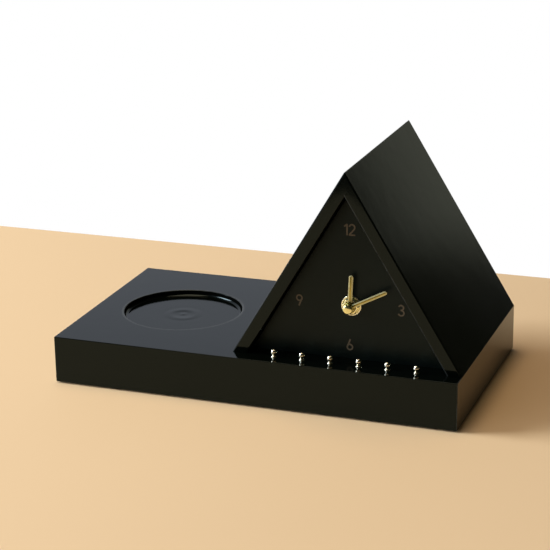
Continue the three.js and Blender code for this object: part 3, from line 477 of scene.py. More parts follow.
# %% Wood and battery wrap
def sanded_wood():
    finish = Finish("sanded_wood", Specular_IOR_Level=0.3)
    grain = speckle(finish, place(finish, (1, 0.06, 1)), 2.2 * mm, 4, 0.6)
    fibre = speckle(finish, place(finish, (1, 0.03, 1)), 0.4 * mm, 2)
    ring = above(finish, grain, 0.4, 0.62)
    colour = mixed(finish, ring, rgb(206, 174, 128), rgb(170, 130, 84))
    return finish.paint(
        Base_Color=colour, Roughness=0.62 + fibre * 0.15, Normal=bump(finish, fibre, 0.04 * mm)
    )


battery_cuff = 14 * mm
cuff_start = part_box("battery")[1].x - battery_cuff


def battery_wrap():
    finish = Finish("battery_wrap", Metallic=0.6)
    point = place(finish)
    wear = speckle(finish, point, 0.8 * mm, 3)
    cuff = above(finish, axis_of(finish, point, "X"), cuff_start - 0.1 * mm, cuff_start)
    colour = mixed(finish, cuff, rgb(52, 54, 58), rgb(186, 150, 96))
    return finish.paint(
        Base_Color=colour, Roughness=0.28 + wear * 0.1, Normal=bump(finish, wear, 0.005 * mm)
    )


wood = sanded_wood()
battery_paint = battery_wrap()
print("made", wood.name, "and", battery_paint.name)

# %% [markdown]
# Most inner nodes already have their true shape, so they only need a finish. The record gives each
# node a material slot, and one table turns a slot into the finish made for it.

# %% Dress the nodes that keep their shape
finish_of_slot = {
    "lacquer": lacquer,
    "dial_black": dial_paint,
    "brass": brass,
    "pale_gold": pale_gold,
    "steel": steel,
    "aluminium": aluminium,
    "black_plastic": black_plastic,
    "white_plastic": white_plastic,
    "opal_plastic": opal,
    "circuit_board": circuit,
    "bare_wood": wood,
    "rubber": rubber,
    "battery_label": battery_paint,
}
slot_of = {part["node"]: part["material_slot"] for part in frame["record"]["subparts"]}
for name, node in frame["nodes"].items():
    node.data.materials.clear()
    node.data.materials.append(finish_of_slot[slot_of[name]])
print(len(slot_of), "nodes dressed in", len(finish_of_slot), "finishes")

# %% [markdown]
# Every new piece ends the same way: its bmesh becomes an object at the origin that rides on the
# body of the node it replaces. A curved skin has to shade smoothly while real corners stay crisp,
# so edges where the surface turns sharply are marked hard. Large flat faces next to a rounding
# would pick up a false curve from it, which a Weighted Normal modifier prevents.


# %% Finish a piece
def crease(bm, degrees=35):
    """Smooth faces everywhere, with a hard edge wherever the surface turns sharply."""
    for face in bm.faces:
        face.smooth = True
    for edge in bm.edges:
        if len(edge.link_faces) == 2 and edge.calc_face_angle(0) > math.radians(degrees):
            edge.smooth = False


def add_piece(name, bm, finish, node, stands_for=True, slot=None):
    """The piece rides on the node's body, wears the finish given and, if it stands for it, replaces it; slot is
    not used.
    """
    mesh = bpy.data.meshes.new(name)
    bm.to_mesh(mesh)
    bm.free()
    mesh.materials.append(finish)
    piece = bpy.data.objects.new(name, mesh)
    bpy.context.scene.collection.objects.link(piece)
    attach(piece, body_of[node])
    if stands_for:
        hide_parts(node)
    print(name, "has", len(mesh.polygons), "faces")
    return piece


def even_light(piece):
    """Lets large flat faces rule the shading next to them, so that only the rounding is curved."""
    weighted = piece.modifiers.new("even_light", "WEIGHTED_NORMAL")
    weighted.mode = "FACE_AREA"
    weighted.keep_sharp = True


print("a piece rides on one of the bodies", sorted(set(body_of.values())))

# %% [markdown]
# A few more helpers shape the pieces. Every edge of a real lacquered board is rounded, if only by
# the paint, and a rounding is where rubbed paint and bright brass show first. So the helper that
# bevels an edge also marks the new faces, and the finishes paint them paler, partly as rubbed paint
# and partly as a painted highlight.


# %% Helpers that shape
facing_front = Matrix.Rotation(math.radians(90), 4, "X")
facing_rear = Matrix.Rotation(math.radians(-90), 4, "X")


def at(x, y, z):
    return Matrix.Translation((x, y, z))


def quarter(centre_radius, centre_height, radius, start, steps=4):
    """Points of a quarter turn of a fillet, from an angle in degrees measured off the radius."""
    angles = [math.radians(start + 90 * i / steps) for i in range(steps + 1)]
    return [
        (centre_radius + radius * math.cos(a), centre_height + radius * math.sin(a)) for a in angles
    ]


def mark(bm, faces, share=1.0, name="edge"):
    """Writes a share on faces: as "edge" where paint wear and painted highlight make a rim paler, as "flat" where
    a dull near-black stands in as painted shade.
    """
    layer = bm.loops.layers.float.get(name) or bm.loops.layers.float.new(name)
    for face in faces:
        for corner in face.loops:
            corner[layer] = share


def round_edges(bm, edges, radius, segments=3):
    """Rounds edges with the bevel operator, and marks its faces as smooth and as paler, for paint wear and painted
    highlight.
    """
    made = bmesh.ops.bevel(
        bm, geom=edges, offset=radius, offset_type="OFFSET", affect="EDGES",
        segments=segments, profile=0.5, material=-1, clamp_overlap=True,
    )
    for face in made["faces"]:
        face.smooth = True
    mark(bm, made["faces"])
    return made["faces"]


def verts_of(made):
    """The vertices in the mixed result of an extrude operator."""
    return [item for item in made["geom"] if isinstance(item, bmesh.types.BMVert)]


def point_outwards(bm):
    bmesh.ops.recalc_face_normals(bm, faces=bm.faces[:])


print("a quarter turn has", len(quarter(0, 0, 1, 0)), "points")

# %% [markdown]
# The plinth is a box glued from fibreboard with its outer edges rounded just enough to hold paint.
# It could be cut out with booleans, but those leave ragged shading. Here it grows from a cube: the
# edges are rounded first, then the underside is inset and pushed up twice, for the rebate of the
# base plate and for the hollow above it. The roundings are painted paler, as rubbed paint and as a
# painted highlight, but not the long edges of the front face, because no pale line shows there.

# %% Plinth box with rounded edges
plate_low, plate_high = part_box("base_plate")
paint_radius = 0.45 * mm
casing_wall = 6 * mm
top_thickness = 9 * mm
plate_gap = 0.3 * mm
rebate = plate_low.x - casing_low.x - plate_gap
hollow_foot = plate_high.z + 0.1 * mm
ceiling = casing_high.z - top_thickness

casing = bmesh.new()
casing_size = Matrix.Diagonal((*(casing_high - casing_low), 1))
bmesh.ops.create_cube(casing, size=1, matrix=at(*(casing_high + casing_low) / 2) @ casing_size)
rounded = round_edges(casing, casing.edges[:], paint_radius)
casing.normal_update()
# Roundings are painted paler as wear and painted highlight; the front's long edges are left black
long_front = [face for face in rounded if face.normal.y < -0.1 and abs(face.normal.z) > 0.1]
mark(casing, long_front, 0.0)


def face_at(bm, axis, level):
    """The largest flat face that lies square to an axis at a level on it."""
    bm.normal_update()
    number = "xyz".index(axis)
    flat = [
        face for face in bm.faces
        if abs(face.normal[number]) > 0.999
        and abs(face.calc_center_median()[number] - level) < 0.05 * mm
    ]
    return max(flat, key=lambda face: face.calc_area())


def push_in(bm, face, depth):
    """Moves a face in against its normal, with walls that follow it; gives the moved face."""
    shift = -face.normal.normalized() * depth
    made = bmesh.ops.extrude_discrete_faces(bm, faces=[face])["faces"][0]
    bmesh.ops.translate(bm, verts=made.verts[:], vec=shift)
    return made


def draw_in(bm, face, width):
    """Leaves a frame of even width round a face and keeps the face for what comes next."""
    bmesh.ops.inset_region(bm, faces=[face], thickness=width, use_even_offset=True)


underside = face_at(casing, "z", casing_low.z)
draw_in(casing, underside, rebate - paint_radius)
underside = push_in(casing, underside, hollow_foot - casing_low.z)
draw_in(casing, underside, casing_wall - rebate)
push_in(casing, underside, ceiling - hollow_foot)
print("plinth so far has", len(casing.faces), "faces; the hollow reaches up to", round(ceiling, 4))

# %% [markdown]
# The tray, the washer, the buttons and the feet are turned forms, and many pieces have round
# holes. Booleans could cut both, but their ragged seams would show in the gloss. So a profile is
# spun right inside a piece's mesh, and a hole is a ring of edges drawn down into a wall. Then each
# flat face that they pass through is taken out and filled again between its outline and the
# rings, so all of it is one skin.


# %% Helpers for turned forms and holes
def spin_into(bm, profile, lay, steps, closed=False):
    """Spins a profile of radius and height about Z inside a mesh, then lays it in its place."""
    verts = [bm.verts.new((radius, 0, height)) for radius, height in profile]
    pairs = list(zip(verts, verts[1:])) + ([(verts[-1], verts[0])] if closed else [])
    before = set(bm.verts) - set(verts)
    bmesh.ops.spin(
        bm, geom=verts + [bm.edges.new(pair) for pair in pairs], cent=(0, 0, 0), axis=(0, 0, 1),
        angle=2 * math.pi, steps=steps, use_merge=True,
    )
    fresh = [vert for vert in bm.verts if vert not in before]
    bmesh.ops.remove_doubles(bm, verts=fresh, dist=1e-7)
    fresh = [vert for vert in bm.verts if vert not in before]
    bmesh.ops.transform(bm, matrix=lay, verts=fresh)
    return fresh


def open_edges(verts):
    """Edges of these vertices that have a face on one side only: the rims of open skins."""
    return list({edge for vert in verts for edge in vert.link_edges if len(edge.link_faces) == 1})


def bore(bm, radius, lay, depth, steps=24):
    """A hole's wall, drawn from a circle against its own Z; gives its near and far ring."""
    circle = bmesh.ops.create_circle(bm, segments=steps, radius=radius, matrix=lay)["verts"]
    near = list({edge for vert in circle for edge in vert.link_edges})
    far_verts = verts_of(bmesh.ops.extrude_edge_only(bm, edges=near))
    bmesh.ops.translate(bm, verts=far_verts, vec=lay.to_3x3() @ Vector((0, 0, -depth)))
    far = [edge for edge in open_edges(far_verts) if all(vert in far_verts for vert in edge.verts)]
    return near, far


def refill(bm, face, rings):
    """Takes a flat face out and fills it again between its outline and the rings."""
    normal = face.normal.copy()
    outline = face.edges[:]
    bmesh.ops.delete(bm, geom=[face], context="FACES_ONLY")
    bmesh.ops.triangle_fill(bm, use_beauty=True, edges=outline + rings, normal=normal)


def drill(bm, x, z, near, far, radius, steps=40):
    """A round hole along Y, through the flat faces at a near and a far level."""
    facing = facing_front if near < far else facing_rear
    near_ring, far_ring = bore(bm, radius, at(x, near, z) @ facing, abs(far - near), steps)
    refill(bm, face_at(bm, "y", near), near_ring)
    refill(bm, face_at(bm, "y", far), far_ring)
    point_outwards(bm)


print("turned forms and holes can be made inside a mesh")

# %% [markdown]
# The tray is milled into the plinth's top: a rounded rim, a wall that leans in by a hair, and a
# cove between the wall and the flat floor. It is spun in the plinth's own mesh, so that the paint
# runs on over the rim without a seam. Only the top of the rim is marked, to be painted paler as
# rubbed paint and as a painted highlight.

# %% Tray
wall_lean = 0.14 * mm
cove_radius = 2.2 * mm
pale_rim_depth = 0.4 * mm
flat_radius = tray_radius - wall_lean - cove_radius
tray_profile = quarter(tray_radius + rim_radius, casing_high.z - rim_radius, rim_radius, 90, 14)
tray_profile += quarter(flat_radius, tray_floor + cove_radius, cove_radius, -90, 10)[::-1]
tray_profile.append((0, tray_floor))

tray = spin_into(casing, tray_profile, at(tray_middle.x, tray_middle.y, 0), 160)
tray_faces = {face for vert in tray for face in vert.link_faces}
# The top of the rim is painted paler: paint wear, and partly a painted highlight
pale_rim_level = casing_high.z - pale_rim_depth
mark(casing, [face for face in tray_faces if face.calc_center_median().z > pale_rim_level])
print("the tray has", len(tray_faces), "faces; its floor is", round(2 * flat_radius, 4), "across")

# %% [markdown]
# The top has holes for the six buttons, for the four screws of the housing's rails and for the
# lamp's lead, and the rear wall has one for the power inlet. All the holes of a face are drawn
# first and the face is filled once, because filling it splits it into triangles.

# %% Holes of the plinth
button_hole, screw_hole, lead_hole, inlet_hole = 1.8 * mm, 2.3 * mm, 3 * mm, 5.3 * mm
lead_place = Vector((house_x + 20 * mm, 19.9 * mm, 0))
jack_x, jack_z = house_x + 30 * mm, 16 * mm
button_boxes = [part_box(f"button_{number}") for number in range(1, 7)]
rail_screws = [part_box(f"rail_screw_{number}") for number in range(1, 5)]

top_holes = [((low + high) / 2, button_hole) for low, high in button_boxes]
top_holes += [((low + high) / 2, screw_hole) for low, high in rail_screws]
top_holes.append((lead_place, lead_hole))
top_rings = open_edges(tray)
ceiling_rings = []
for middle, radius in top_holes:
    near, far = bore(casing, radius, at(middle.x, middle.y, casing_high.z), top_thickness)
    top_rings += near
    ceiling_rings += far
refill(casing, face_at(casing, "z", casing_high.z), top_rings)
refill(casing, face_at(casing, "z", ceiling), ceiling_rings)
drill(casing, jack_x, jack_z, casing_high.y, casing_high.y - casing_wall, inlet_hole)
print(len(top_holes), "holes in the top; open edges left:", len(open_edges(casing.verts)))

# %% [markdown]
# Inside, square bosses in the corners take the base plate's screws, and four posts with pegs hold
# the control board. They are closed forms of their own, sunk a little into the ceiling.

# %% Bosses and posts of the plinth
screw_boxes = [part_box(f"base_screw_{number}") for number in range(1, 5)]
board_low, board_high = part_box("control_board")
boss_width = 9 * mm
post_radius, peg_radius = 3.5 * mm, 1.5 * mm
post_inset, post_row_gap = 5 * mm, 17.5 * mm
sunk_top = ceiling + 1 * mm
for low, high in screw_boxes:
    middle = (low + high) / 2
    size = Matrix.Diagonal((boss_width, boss_width, sunk_top - hollow_foot, 1))
    lay = at(middle.x, middle.y, (sunk_top + hollow_foot) / 2)
    bmesh.ops.create_cube(casing, size=1, matrix=lay @ size)
rear_row = board_high.y - post_inset
for x in (board_low.x + post_inset, board_high.x - post_inset):
    for y in (rear_row, rear_row - post_row_gap):
        for radius, bottom in (
            (post_radius, board_high.z + 0.1 * mm), (peg_radius, board_low.z - 1 * mm)
        ):
            bmesh.ops.create_cone(
                casing, cap_ends=True, segments=24, radius1=radius, radius2=radius,
                depth=sunk_top - bottom, matrix=at(x, y, (sunk_top + bottom) / 2),
            )
crease(casing)
even_light(add_piece("plinth", casing, lacquer, "base_casing"))

# %% [markdown]
# The housing is two boards mitred at the ridge, and the paint hides the joint. So the pair is made
# as one inverted V, extruded from front to back, with its visible edges rounded, and only then
# sawn at the mitre with bisect. That keeps the rounding of the ridge the same on both boards.

# %% Outline of the housing
left_low, left_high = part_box("roof_left")
rise = 137 * mm
board_thickness = 9 * mm
board_round = 1 * mm
pitch = math.atan2(rise, half_base)
foot = left_low.z
ground = casing_high.z


def half_width(height, half, top):
    """Half the width of a triangle of half base and height at a level above the plinth."""
    return half * (1 - (height - ground) / top)


inner_half = half_base - board_thickness / math.sin(pitch)
inner_rise = rise - board_thickness / math.cos(pitch)
outer_reach = half_width(foot, half_base, rise)
inner_reach = half_width(foot, inner_half, inner_rise)
shell_outline = [
    (house_x - outer_reach, foot), (house_x, ground + rise), (house_x + outer_reach, foot),
    (house_x + inner_reach, foot), (house_x, ground + inner_rise), (house_x - inner_reach, foot),
]
print("the boards lean at", round(math.degrees(pitch), 1), "degrees")

# %% [markdown]
# Only the ridge is painted pale like the plinth's edges, as rubbed paint and painted highlight.
# The roundings round the open ends stay black, but for a faint painted highlight line inside the
# right board, and the boards' inner faces get a matt near-black, painted shade in place of the
# mirror image that gloss would show there and the real niche doesn't have.


# %% Housing boards
def slab(points, front, rear):
    """A flat outline of x and z pairs, drawn from its front back to its rear."""
    bm = bmesh.new()
    face = bm.faces.new([bm.verts.new((x, front, z)) for x, z in points])
    made = bmesh.ops.extrude_face_region(bm, geom=[face])
    bmesh.ops.translate(bm, verts=verts_of(made), vec=(0, rear - front, 0))
    point_outwards(bm)
    return bm


def flat_at(edge, axis, level):
    number = "xyz".index(axis)
    return all(abs(vert.co[number] - level) < 1e-6 for vert in edge.verts)


def mark_shell(bm, rounded):
    """Marks what is painted paler, for paint wear and painted highlight, and what gets painted shade, once the
    edges are rounded.
    """
    bm.normal_update()
    round_ends = [face for face in rounded if abs(face.normal.y) > 0.1]
    mark(bm, round_ends, 0.0)
    right = [face for face in round_ends if face.calc_center_median().x > house_x]
    # A faint painted highlight line on the downward roundings inside the right board
    mark(bm, [face for face in right if face.normal.z < 0], 0.4)
    # The inner faces get painted shade: a dull near-black instead of their gloss
    inside = [face for face in bm.faces if face.normal.z < -0.3 and abs(face.normal.y) < 0.1]
    mark(bm, inside, 1.0, "flat")


def housing_board(name, node, side):
    """One half of the shell: the left one for a side of -1, the right one for 1."""
    bm = slab(shell_outline, left_low.y, left_high.y)
    ends = [
        edge for edge in bm.edges
        if (flat_at(edge, "y", left_low.y) or flat_at(edge, "y", left_high.y))
        and not flat_at(edge, "z", foot)
    ]
    ridge = [edge for edge in bm.edges if flat_at(edge, "z", ground + rise)]
    mark_shell(bm, round_edges(bm, ends + ridge, board_round, 4))
    sawn = bmesh.ops.bisect_plane(
        bm, geom=bm.verts[:] + bm.edges[:] + bm.faces[:], dist=1e-7,
        plane_co=(house_x, 0, 0), plane_no=(-side, 0, 0), clear_outer=True,
    )["geom_cut"]
    cut = [item for item in sawn if isinstance(item, bmesh.types.BMEdge)]
    bmesh.ops.contextual_create(bm, geom=cut)
    point_outwards(bm)
    print(name, "open edges:", len(open_edges(bm.verts)))
    crease(bm)
    even_light(add_piece(name, bm, lacquer, node))


housing_board("left_board", "roof_left", -1)
housing_board("right_board", "roof_right", 1)

# %% [markdown]
# The dial is a thin triangular board that stands in the niche, with a hole for the clock's neck.
# Its numerals stand a fifth of a millimetre proud of it, like a thick print.

# %% Dial board
dial_low, dial_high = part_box("dial_panel")
dial_face = -60.6 * mm
neck_hole = 4.3 * mm
dial_outline = [(dial_low.x, dial_low.z), (dial_high.x, dial_low.z), (house_x, dial_high.z)]
dial = slab(dial_outline, dial_face, dial_high.y)
drill(dial, hub_x, hub_z, dial_face, dial_high.y, neck_hole)
crease(dial)
add_piece("dial_board", dial, dial_paint, "dial_panel")

# %% [markdown]
# A numeral is drawn as with a pen of one width: straight runs and arcs, in a frame one unit high.
# A run is a cube stretched between two points, and an arc is a small rectangle spun through part
# of a turn. Each new stroke stands a hair higher than the one before, so that no two front faces
# lie in one plane where strokes cross.

# %% Strokes of the numerals
numeral_height = 8.1 * mm
pen = 1.05 * mm
print_height = 0.2 * mm
stroke_step = 0.01 * mm
steps_per_radian = 9
# A digit's width, its runs as x, z, x, z, and its arcs as x, z, radius, first and last degree
digits = {
    1: (0.3, [(0.02, 0.76, 0.27, 0.97), (0.27, 0, 0.27, 1)], []),
    2: (
        0.56, [(0.47, 0.57, 0.03, 0.04), (0, 0.05, 0.56, 0.05)],
        [(0.28, 0.72, 0.24, -40, 170)],
    ),
    3: (
        0.54, [(0.22, 0.53, 0.34, 0.53)],
        [(0.27, 0.75, 0.21, -92, 160), (0.27, 0.28, 0.24, -160, 92)],
    ),
    6: (0.56, [(0.06, 0.33, 0.33, 0.99)], [(0.28, 0.28, 0.24, 0, 360)]),
}


def pen_line(bm, x0, z0, x1, z1, proud):
    """A straight run of the pen from one point to another; gives its vertices."""
    length = math.hypot(x1 - x0, z1 - z0)
    turn = Matrix.Rotation(math.atan2(x1 - x0, z1 - z0), 4, "Y")
    size = Matrix.Diagonal((pen, 2 * proud, length, 1))
    middle = at((x0 + x1) / 2, 0, (z0 + z1) / 2)
    return bmesh.ops.create_cube(bm, size=1, matrix=middle @ turn @ size)["verts"]


def pen_arc(bm, x, z, radius, start, end, proud):
    """A run of the pen round a centre, between two angles in degrees; gives its vertices."""
    turn = math.radians(end - start)
    angle = math.radians(start)
    direction = Vector((math.cos(angle), 0, math.sin(angle)))
    corners = [
        bm.verts.new(direction * (radius + side * pen / 2) + Vector((x, depth, z)))
        for side, depth in ((-1, -proud), (1, -proud), (1, proud), (-1, proud))
    ]
    face = bm.faces.new(corners)
    whole_turn = end - start == 360
    before = set(bm.verts) - set(corners)
    geometry = corners + face.edges[:] + ([] if whole_turn else [face])
    if whole_turn:
        bmesh.ops.delete(bm, geom=[face], context="FACES_ONLY")
    bmesh.ops.spin(
        bm, geom=geometry, cent=(x, 0, z), axis=(0, -1, 0), angle=turn,
        steps=round(turn * steps_per_radian), use_merge=whole_turn,
    )
    return [vert for vert in bm.verts if vert not in before]


print("strokes for", sorted(digits))

# %% [markdown]
# Each numeral is moved to its place as soon as it is drawn: a one and a two side by side make the
# twelve, and the nine is a six given half a turn. All go into one mesh, because they are one print.

# %% Numerals
twelve_rise, six_drop, side_reach = 54.3 * mm, 28.8 * mm, 36.7 * mm


def numeral(bm, digit, middle_x, middle_z, turned_over=False):
    """Draws a digit at the origin and moves it to where its middle belongs."""
    width, lines, arcs = digits[digit]
    h = numeral_height
    verts = []
    for number, (x0, z0, x1, z1) in enumerate(lines):
        proud = print_height + number * stroke_step
        verts += pen_line(bm, x0 * h, z0 * h, x1 * h, z1 * h, proud)
    for number, (x, z, radius, start, end) in enumerate(arcs, 2):
        proud = print_height + number * stroke_step
        verts += pen_arc(bm, x * h, z * h, radius * h, start, end, proud)
    verts = list(set(verts))
    bmesh.ops.translate(bm, verts=verts, vec=(-width * h / 2, 0, -h / 2))
    if turned_over:
        half_turn = Matrix.Rotation(math.pi, 3, "Y")
        bmesh.ops.rotate(bm, verts=verts, cent=(0, 0, 0), matrix=half_turn)
    bmesh.ops.translate(bm, verts=verts, vec=(middle_x, dial_face, middle_z))


numerals = bmesh.new()
two_half = digits[2][0] * numeral_height / 2
numeral(numerals, 1, house_x - two_half - pen / 2, hub_z + twelve_rise)
numeral(numerals, 2, house_x + two_half - pen / 2, hub_z + twelve_rise)
numeral(numerals, 3, house_x + side_reach, hub_z)
numeral(numerals, 6, house_x, hub_z - six_drop)
numeral(numerals, 6, house_x - side_reach, hub_z, True)
point_outwards(numerals)
crease(numerals, 30)
add_piece("numerals", numerals, print_paint, "dial_panel", False, "brass")

# %% [markdown]
# Washer, nut and cap hold the clock to the dial. Washer and cap are turned brass, so their profiles
# are spun. A profile's height becomes the distance in front of the plinth's middle. The washer is
# a rounded bead round a lower middle, which rises a little again towards the neck.


# %% Washer
def turned_piece(
    name, profile, finish, node, lay, steps=64, closed=False, rim_from=None, **how
):
    """Spins a profile into a piece; faces beyond the radius rim_from are marked as its rim, which brass paints
    paler, partly as a painted highlight.
    """
    bm = bmesh.new()
    spin_into(bm, profile, at(0, 0, 0), steps, closed)
    if rim_from:
        mark(bm, [face for face in bm.faces if face.calc_center_median().xy.length > rim_from])
    bmesh.ops.transform(bm, matrix=lay, verts=bm.verts[:])
    point_outwards(bm)
    crease(bm)
    return add_piece(name, bm, finish, node, **how)


on_axis = at(hub_x, 0, hub_z) @ facing_front
washer_low, washer_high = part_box("dial_washer")
washer_rear, washer_front = -washer_high.y, -washer_low.y
washer_radius, bead_radius, groove_radius = 7.3 * mm, 6 * mm, 5.9 * mm
bead_round = 0.5 * mm
bead_foot = washer_front - bead_round
neck_rise = 0.2 * mm
washer = [
    (neck_hole, washer_rear), (washer_radius, washer_rear),
    *quarter(washer_radius - bead_round, bead_foot, bead_round, 0, 6),
    *quarter(bead_radius + bead_round, bead_foot, bead_round, 90, 6)[:-1],
    (groove_radius, bead_foot), (neck_hole, bead_foot + neck_rise),
]
turned_piece("washer", washer, brass, "dial_washer", on_axis, 96, True, groove_radius)

# %% [markdown]
# The nut under the hands has six sides, which a spun profile can't give. It starts as a circle of
# six corners, drawn to its depth. Its front face is pushed back and then inset forwards again for
# the chamfered rim, and the sharp edges that remain are rounded, before the neck's hole goes in.

# %% Nut
nut_low, nut_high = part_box("dial_nut")
nut_corner = (nut_high.z - nut_low.z) / 2
chamfer_width, chamfer_depth = 0.7 * mm, 0.35 * mm
nut_round = 0.12 * mm
corner_up = Matrix.Rotation(math.radians(30), 4, "Z")
nut = bmesh.new()
bmesh.ops.create_circle(
    nut, cap_ends=True, segments=6, radius=nut_corner,
    matrix=on_axis @ at(0, 0, -nut_low.y) @ corner_up,
)
made = bmesh.ops.extrude_face_region(nut, geom=nut.faces[:])
bmesh.ops.translate(nut, verts=verts_of(made), vec=(0, nut_high.y - nut_low.y, 0))
point_outwards(nut)
nut_front = face_at(nut, "y", nut_low.y)
bmesh.ops.translate(nut, verts=nut_front.verts[:], vec=(0, chamfer_depth, 0))
bmesh.ops.inset_region(
    nut, faces=[nut_front], thickness=chamfer_width, depth=chamfer_depth, use_even_offset=True
)
sharp = [edge for edge in nut.edges if edge.calc_face_angle(0) > 0.3]
round_edges(nut, sharp, nut_round, 2)
drill(nut, hub_x, hub_z, nut_low.y, nut_high.y, neck_hole)
crease(nut)
add_piece("nut", nut, brass, "dial_nut")

# %% [markdown]
# The cap closes the hands' hub. It is a short turned pin whose dome is flatter than a ball, so the
# dome's profile is a quarter of an ellipse and not of a circle.

# %% Cap
cap_low, cap_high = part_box("hand_cap")
cap_rear, cap_front = -cap_high.y, -cap_low.y
cap_radius = (cap_high.x - cap_low.x) / 2
cap_dome = 1 * mm
dome_angles = [math.radians(90 * i / 12) for i in range(12)]
dome = [
    (cap_radius * math.cos(a), cap_front - cap_dome + cap_dome * math.sin(a)) for a in dome_angles
]
cap = [(0, cap_rear), (cap_radius, cap_rear), *dome, (0, cap_front)]
turned_piece("cap", cap, brass, "hand_cap", on_axis)

# %% [markdown]
# The hands are stamped from sheet brass. Each has a flat middle between wide sloping rims, which
# catch the light, and a rounded tip. The blade starts as a circle as wide as the hand. Its upper
# half is moved out as the tip and its lower half is pressed nearly flat as the heel; then it is
# drawn to its thickness, and an inset makes the rims. The hub is a turned ring.

# %% Hands
blade_thickness = 0.6 * mm
rim_rise = 0.25 * mm
rim_share = 0.3
hub_fillet = 0.3 * mm


def ring_profile(inner, outer, rear, front, fillet):
    """A ring's closed profile with rounded outer corners and a small chamfer at the bore."""
    return [
        (inner, rear), (outer - fillet, rear),
        *quarter(outer - fillet, rear + fillet, fillet, -90),
        *quarter(outer - fillet, front - fillet, fillet, 0),
        (inner + fillet, front), (inner, front - fillet),
    ]


def hand(name, node, degrees, start, length, width, hub_radius, bore_radius):
    """A hand whose blade runs from start to length, turned clockwise from twelve."""
    low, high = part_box(node)
    rear, front = high.y, low.y
    blade_face = rear - blade_thickness + rim_rise
    half = width / 2
    bm = bmesh.new()
    verts = bmesh.ops.create_circle(
        bm, cap_ends=True, segments=48, radius=half, matrix=facing_front
    )["verts"]
    heel = [vert for vert in verts if vert.co.z < 1e-6]
    tip = [vert for vert in verts if vert.co.z >= 1e-6]
    bmesh.ops.translate(bm, verts=tip, vec=(0, 0, length - half))
    bmesh.ops.scale(bm, verts=heel, vec=(1, 1, 0.01))
    bmesh.ops.translate(bm, verts=heel, vec=(0, 0, start))
    bmesh.ops.translate(bm, verts=verts, vec=(0, rear, 0))
    made = bmesh.ops.extrude_face_region(bm, geom=bm.faces[:])
    bmesh.ops.translate(bm, verts=verts_of(made), vec=(0, blade_face - rear, 0))
    point_outwards(bm)
    rims = bmesh.ops.inset_region(
        bm, faces=[face_at(bm, "y", blade_face)], thickness=width * rim_share, depth=rim_rise,
        use_even_offset=True,
    )["faces"]
    # Marked rims, which the hand brass paints paler, partly as a painted highlight
    mark(bm, rims)
    hub = ring_profile(bore_radius, hub_radius, -rear, -front, hub_fillet)
    spin_into(bm, hub, facing_front, 64, True)
    point_outwards(bm)
    turn = Matrix.Rotation(math.radians(degrees), 4, "Y")
    bmesh.ops.transform(bm, matrix=at(hub_x, 0, hub_z) @ turn, verts=bm.verts[:])
    crease(bm, 20)
    return add_piece(name, bm, hand_brass, node)


hand(
    "hour_blade", "hour_hand", degrees=3, start=3 * mm, length=23.3 * mm, width=3.2 * mm,
    hub_radius=4 * mm, bore_radius=2.75 * mm,
)
hand(
    "minute_blade", "minute_hand", degrees=62.4, start=2 * mm, length=30.4 * mm, width=2.8 * mm,
    hub_radius=3.3 * mm, bore_radius=1.85 * mm,
)

# %% [markdown]
# Six ball-headed push buttons stand in a row before the dial. Ball, stem and the collar that keeps
# the button under the plinth's top are turned from one rod. Joining a ball to a cylinder would
# leave a ragged ring where they meet, so one profile is spun and makes all of it.

# %% Ball buttons
ball_radius = 2.3 * mm
stem_radius = 1.5 * mm
collar_radius = 2.5 * mm
collar_top = ceiling - 0.3 * mm
collar_foot = collar_top - 1.2 * mm


def ball_arc(radius, neck, centre, steps=20):
    """A ball's profile from where its stem meets it up to its far pole."""
    start = math.asin(neck / radius)
    angles = [start + (math.pi - start) * i / steps for i in range(steps)]
    arc = [(radius * math.sin(a), centre - radius * math.cos(a)) for a in angles]
    return arc + [(0, centre + radius)]


for number, (low, high) in enumerate(button_boxes, 1):
    middle = (low + high) / 2
    lay = at(middle.x, middle.y, 0)
    profile = [
        (0, low.z), (stem_radius, low.z), (stem_radius, collar_foot),
        (collar_radius, collar_foot), (collar_radius, collar_top), (stem_radius, collar_top),
        *ball_arc(ball_radius, stem_radius, high.z - ball_radius),
    ]
    turned_piece(f"ball_button_{number}", profile, pale_gold, f"button_{number}", lay, 40)

# %% [markdown]
# Each stem comes out of the plinth through a thin flanged bush, pressed into its hole. The flange
# is rounded, which is why every ball seems to stand on a second, smaller bead. All six are alike,
# so one closed profile is spun at six places.

# %% Bushes
flange_radius = 2.3 * mm
flange_round = 0.6 * mm
flange_side = 0.15 * mm
sleeve_radius = 1.78 * mm
sleeve_foot = ground - 1 * mm
bush_bore = stem_radius + 0.05 * mm
bush = [
    (bush_bore, sleeve_foot), (sleeve_radius, sleeve_foot), (sleeve_radius, ground),
    (flange_radius, ground),
    *quarter(flange_radius - flange_round, ground + flange_side, flange_round, 0),
    (bush_bore, ground + flange_side + flange_round),
]
for number, (low, high) in enumerate(button_boxes, 1):
    middle = (low + high) / 2
    turned_piece(
        f"bush_{number}", bush, pale_gold, "base_casing", at(middle.x, middle.y, 0), 40, True,
        stands_for=False, slot="pale_gold",
    )

# %% [markdown]
# The back of the housing is the lamp's window: an opal panel that slides out backwards by a small
# brass ball knob. Its edges are rounded like moulded acrylic. The knob is one turned form too: a
# disc on the panel's inner side, a stem through the panel and the ball.

# %% Opal rear panel and its knob
panel_low, panel_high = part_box("rear_panel")
knob_low, knob_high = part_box("panel_knob")
knob_z = (knob_low.z + knob_high.z) / 2
stem_hole = 2.3 * mm
panel_round = 0.4 * mm
panel_outline = [(panel_low.x, panel_low.z), (panel_high.x, panel_low.z), (house_x, panel_high.z)]
panel = slab(panel_outline, panel_low.y, panel_high.y)
round_edges(panel, panel.edges[:], panel_round)
drill(panel, house_x, knob_z, panel_high.y, panel_low.y, stem_hole, 24)
crease(panel)
even_light(add_piece("light_panel", panel, opal, "rear_panel"))

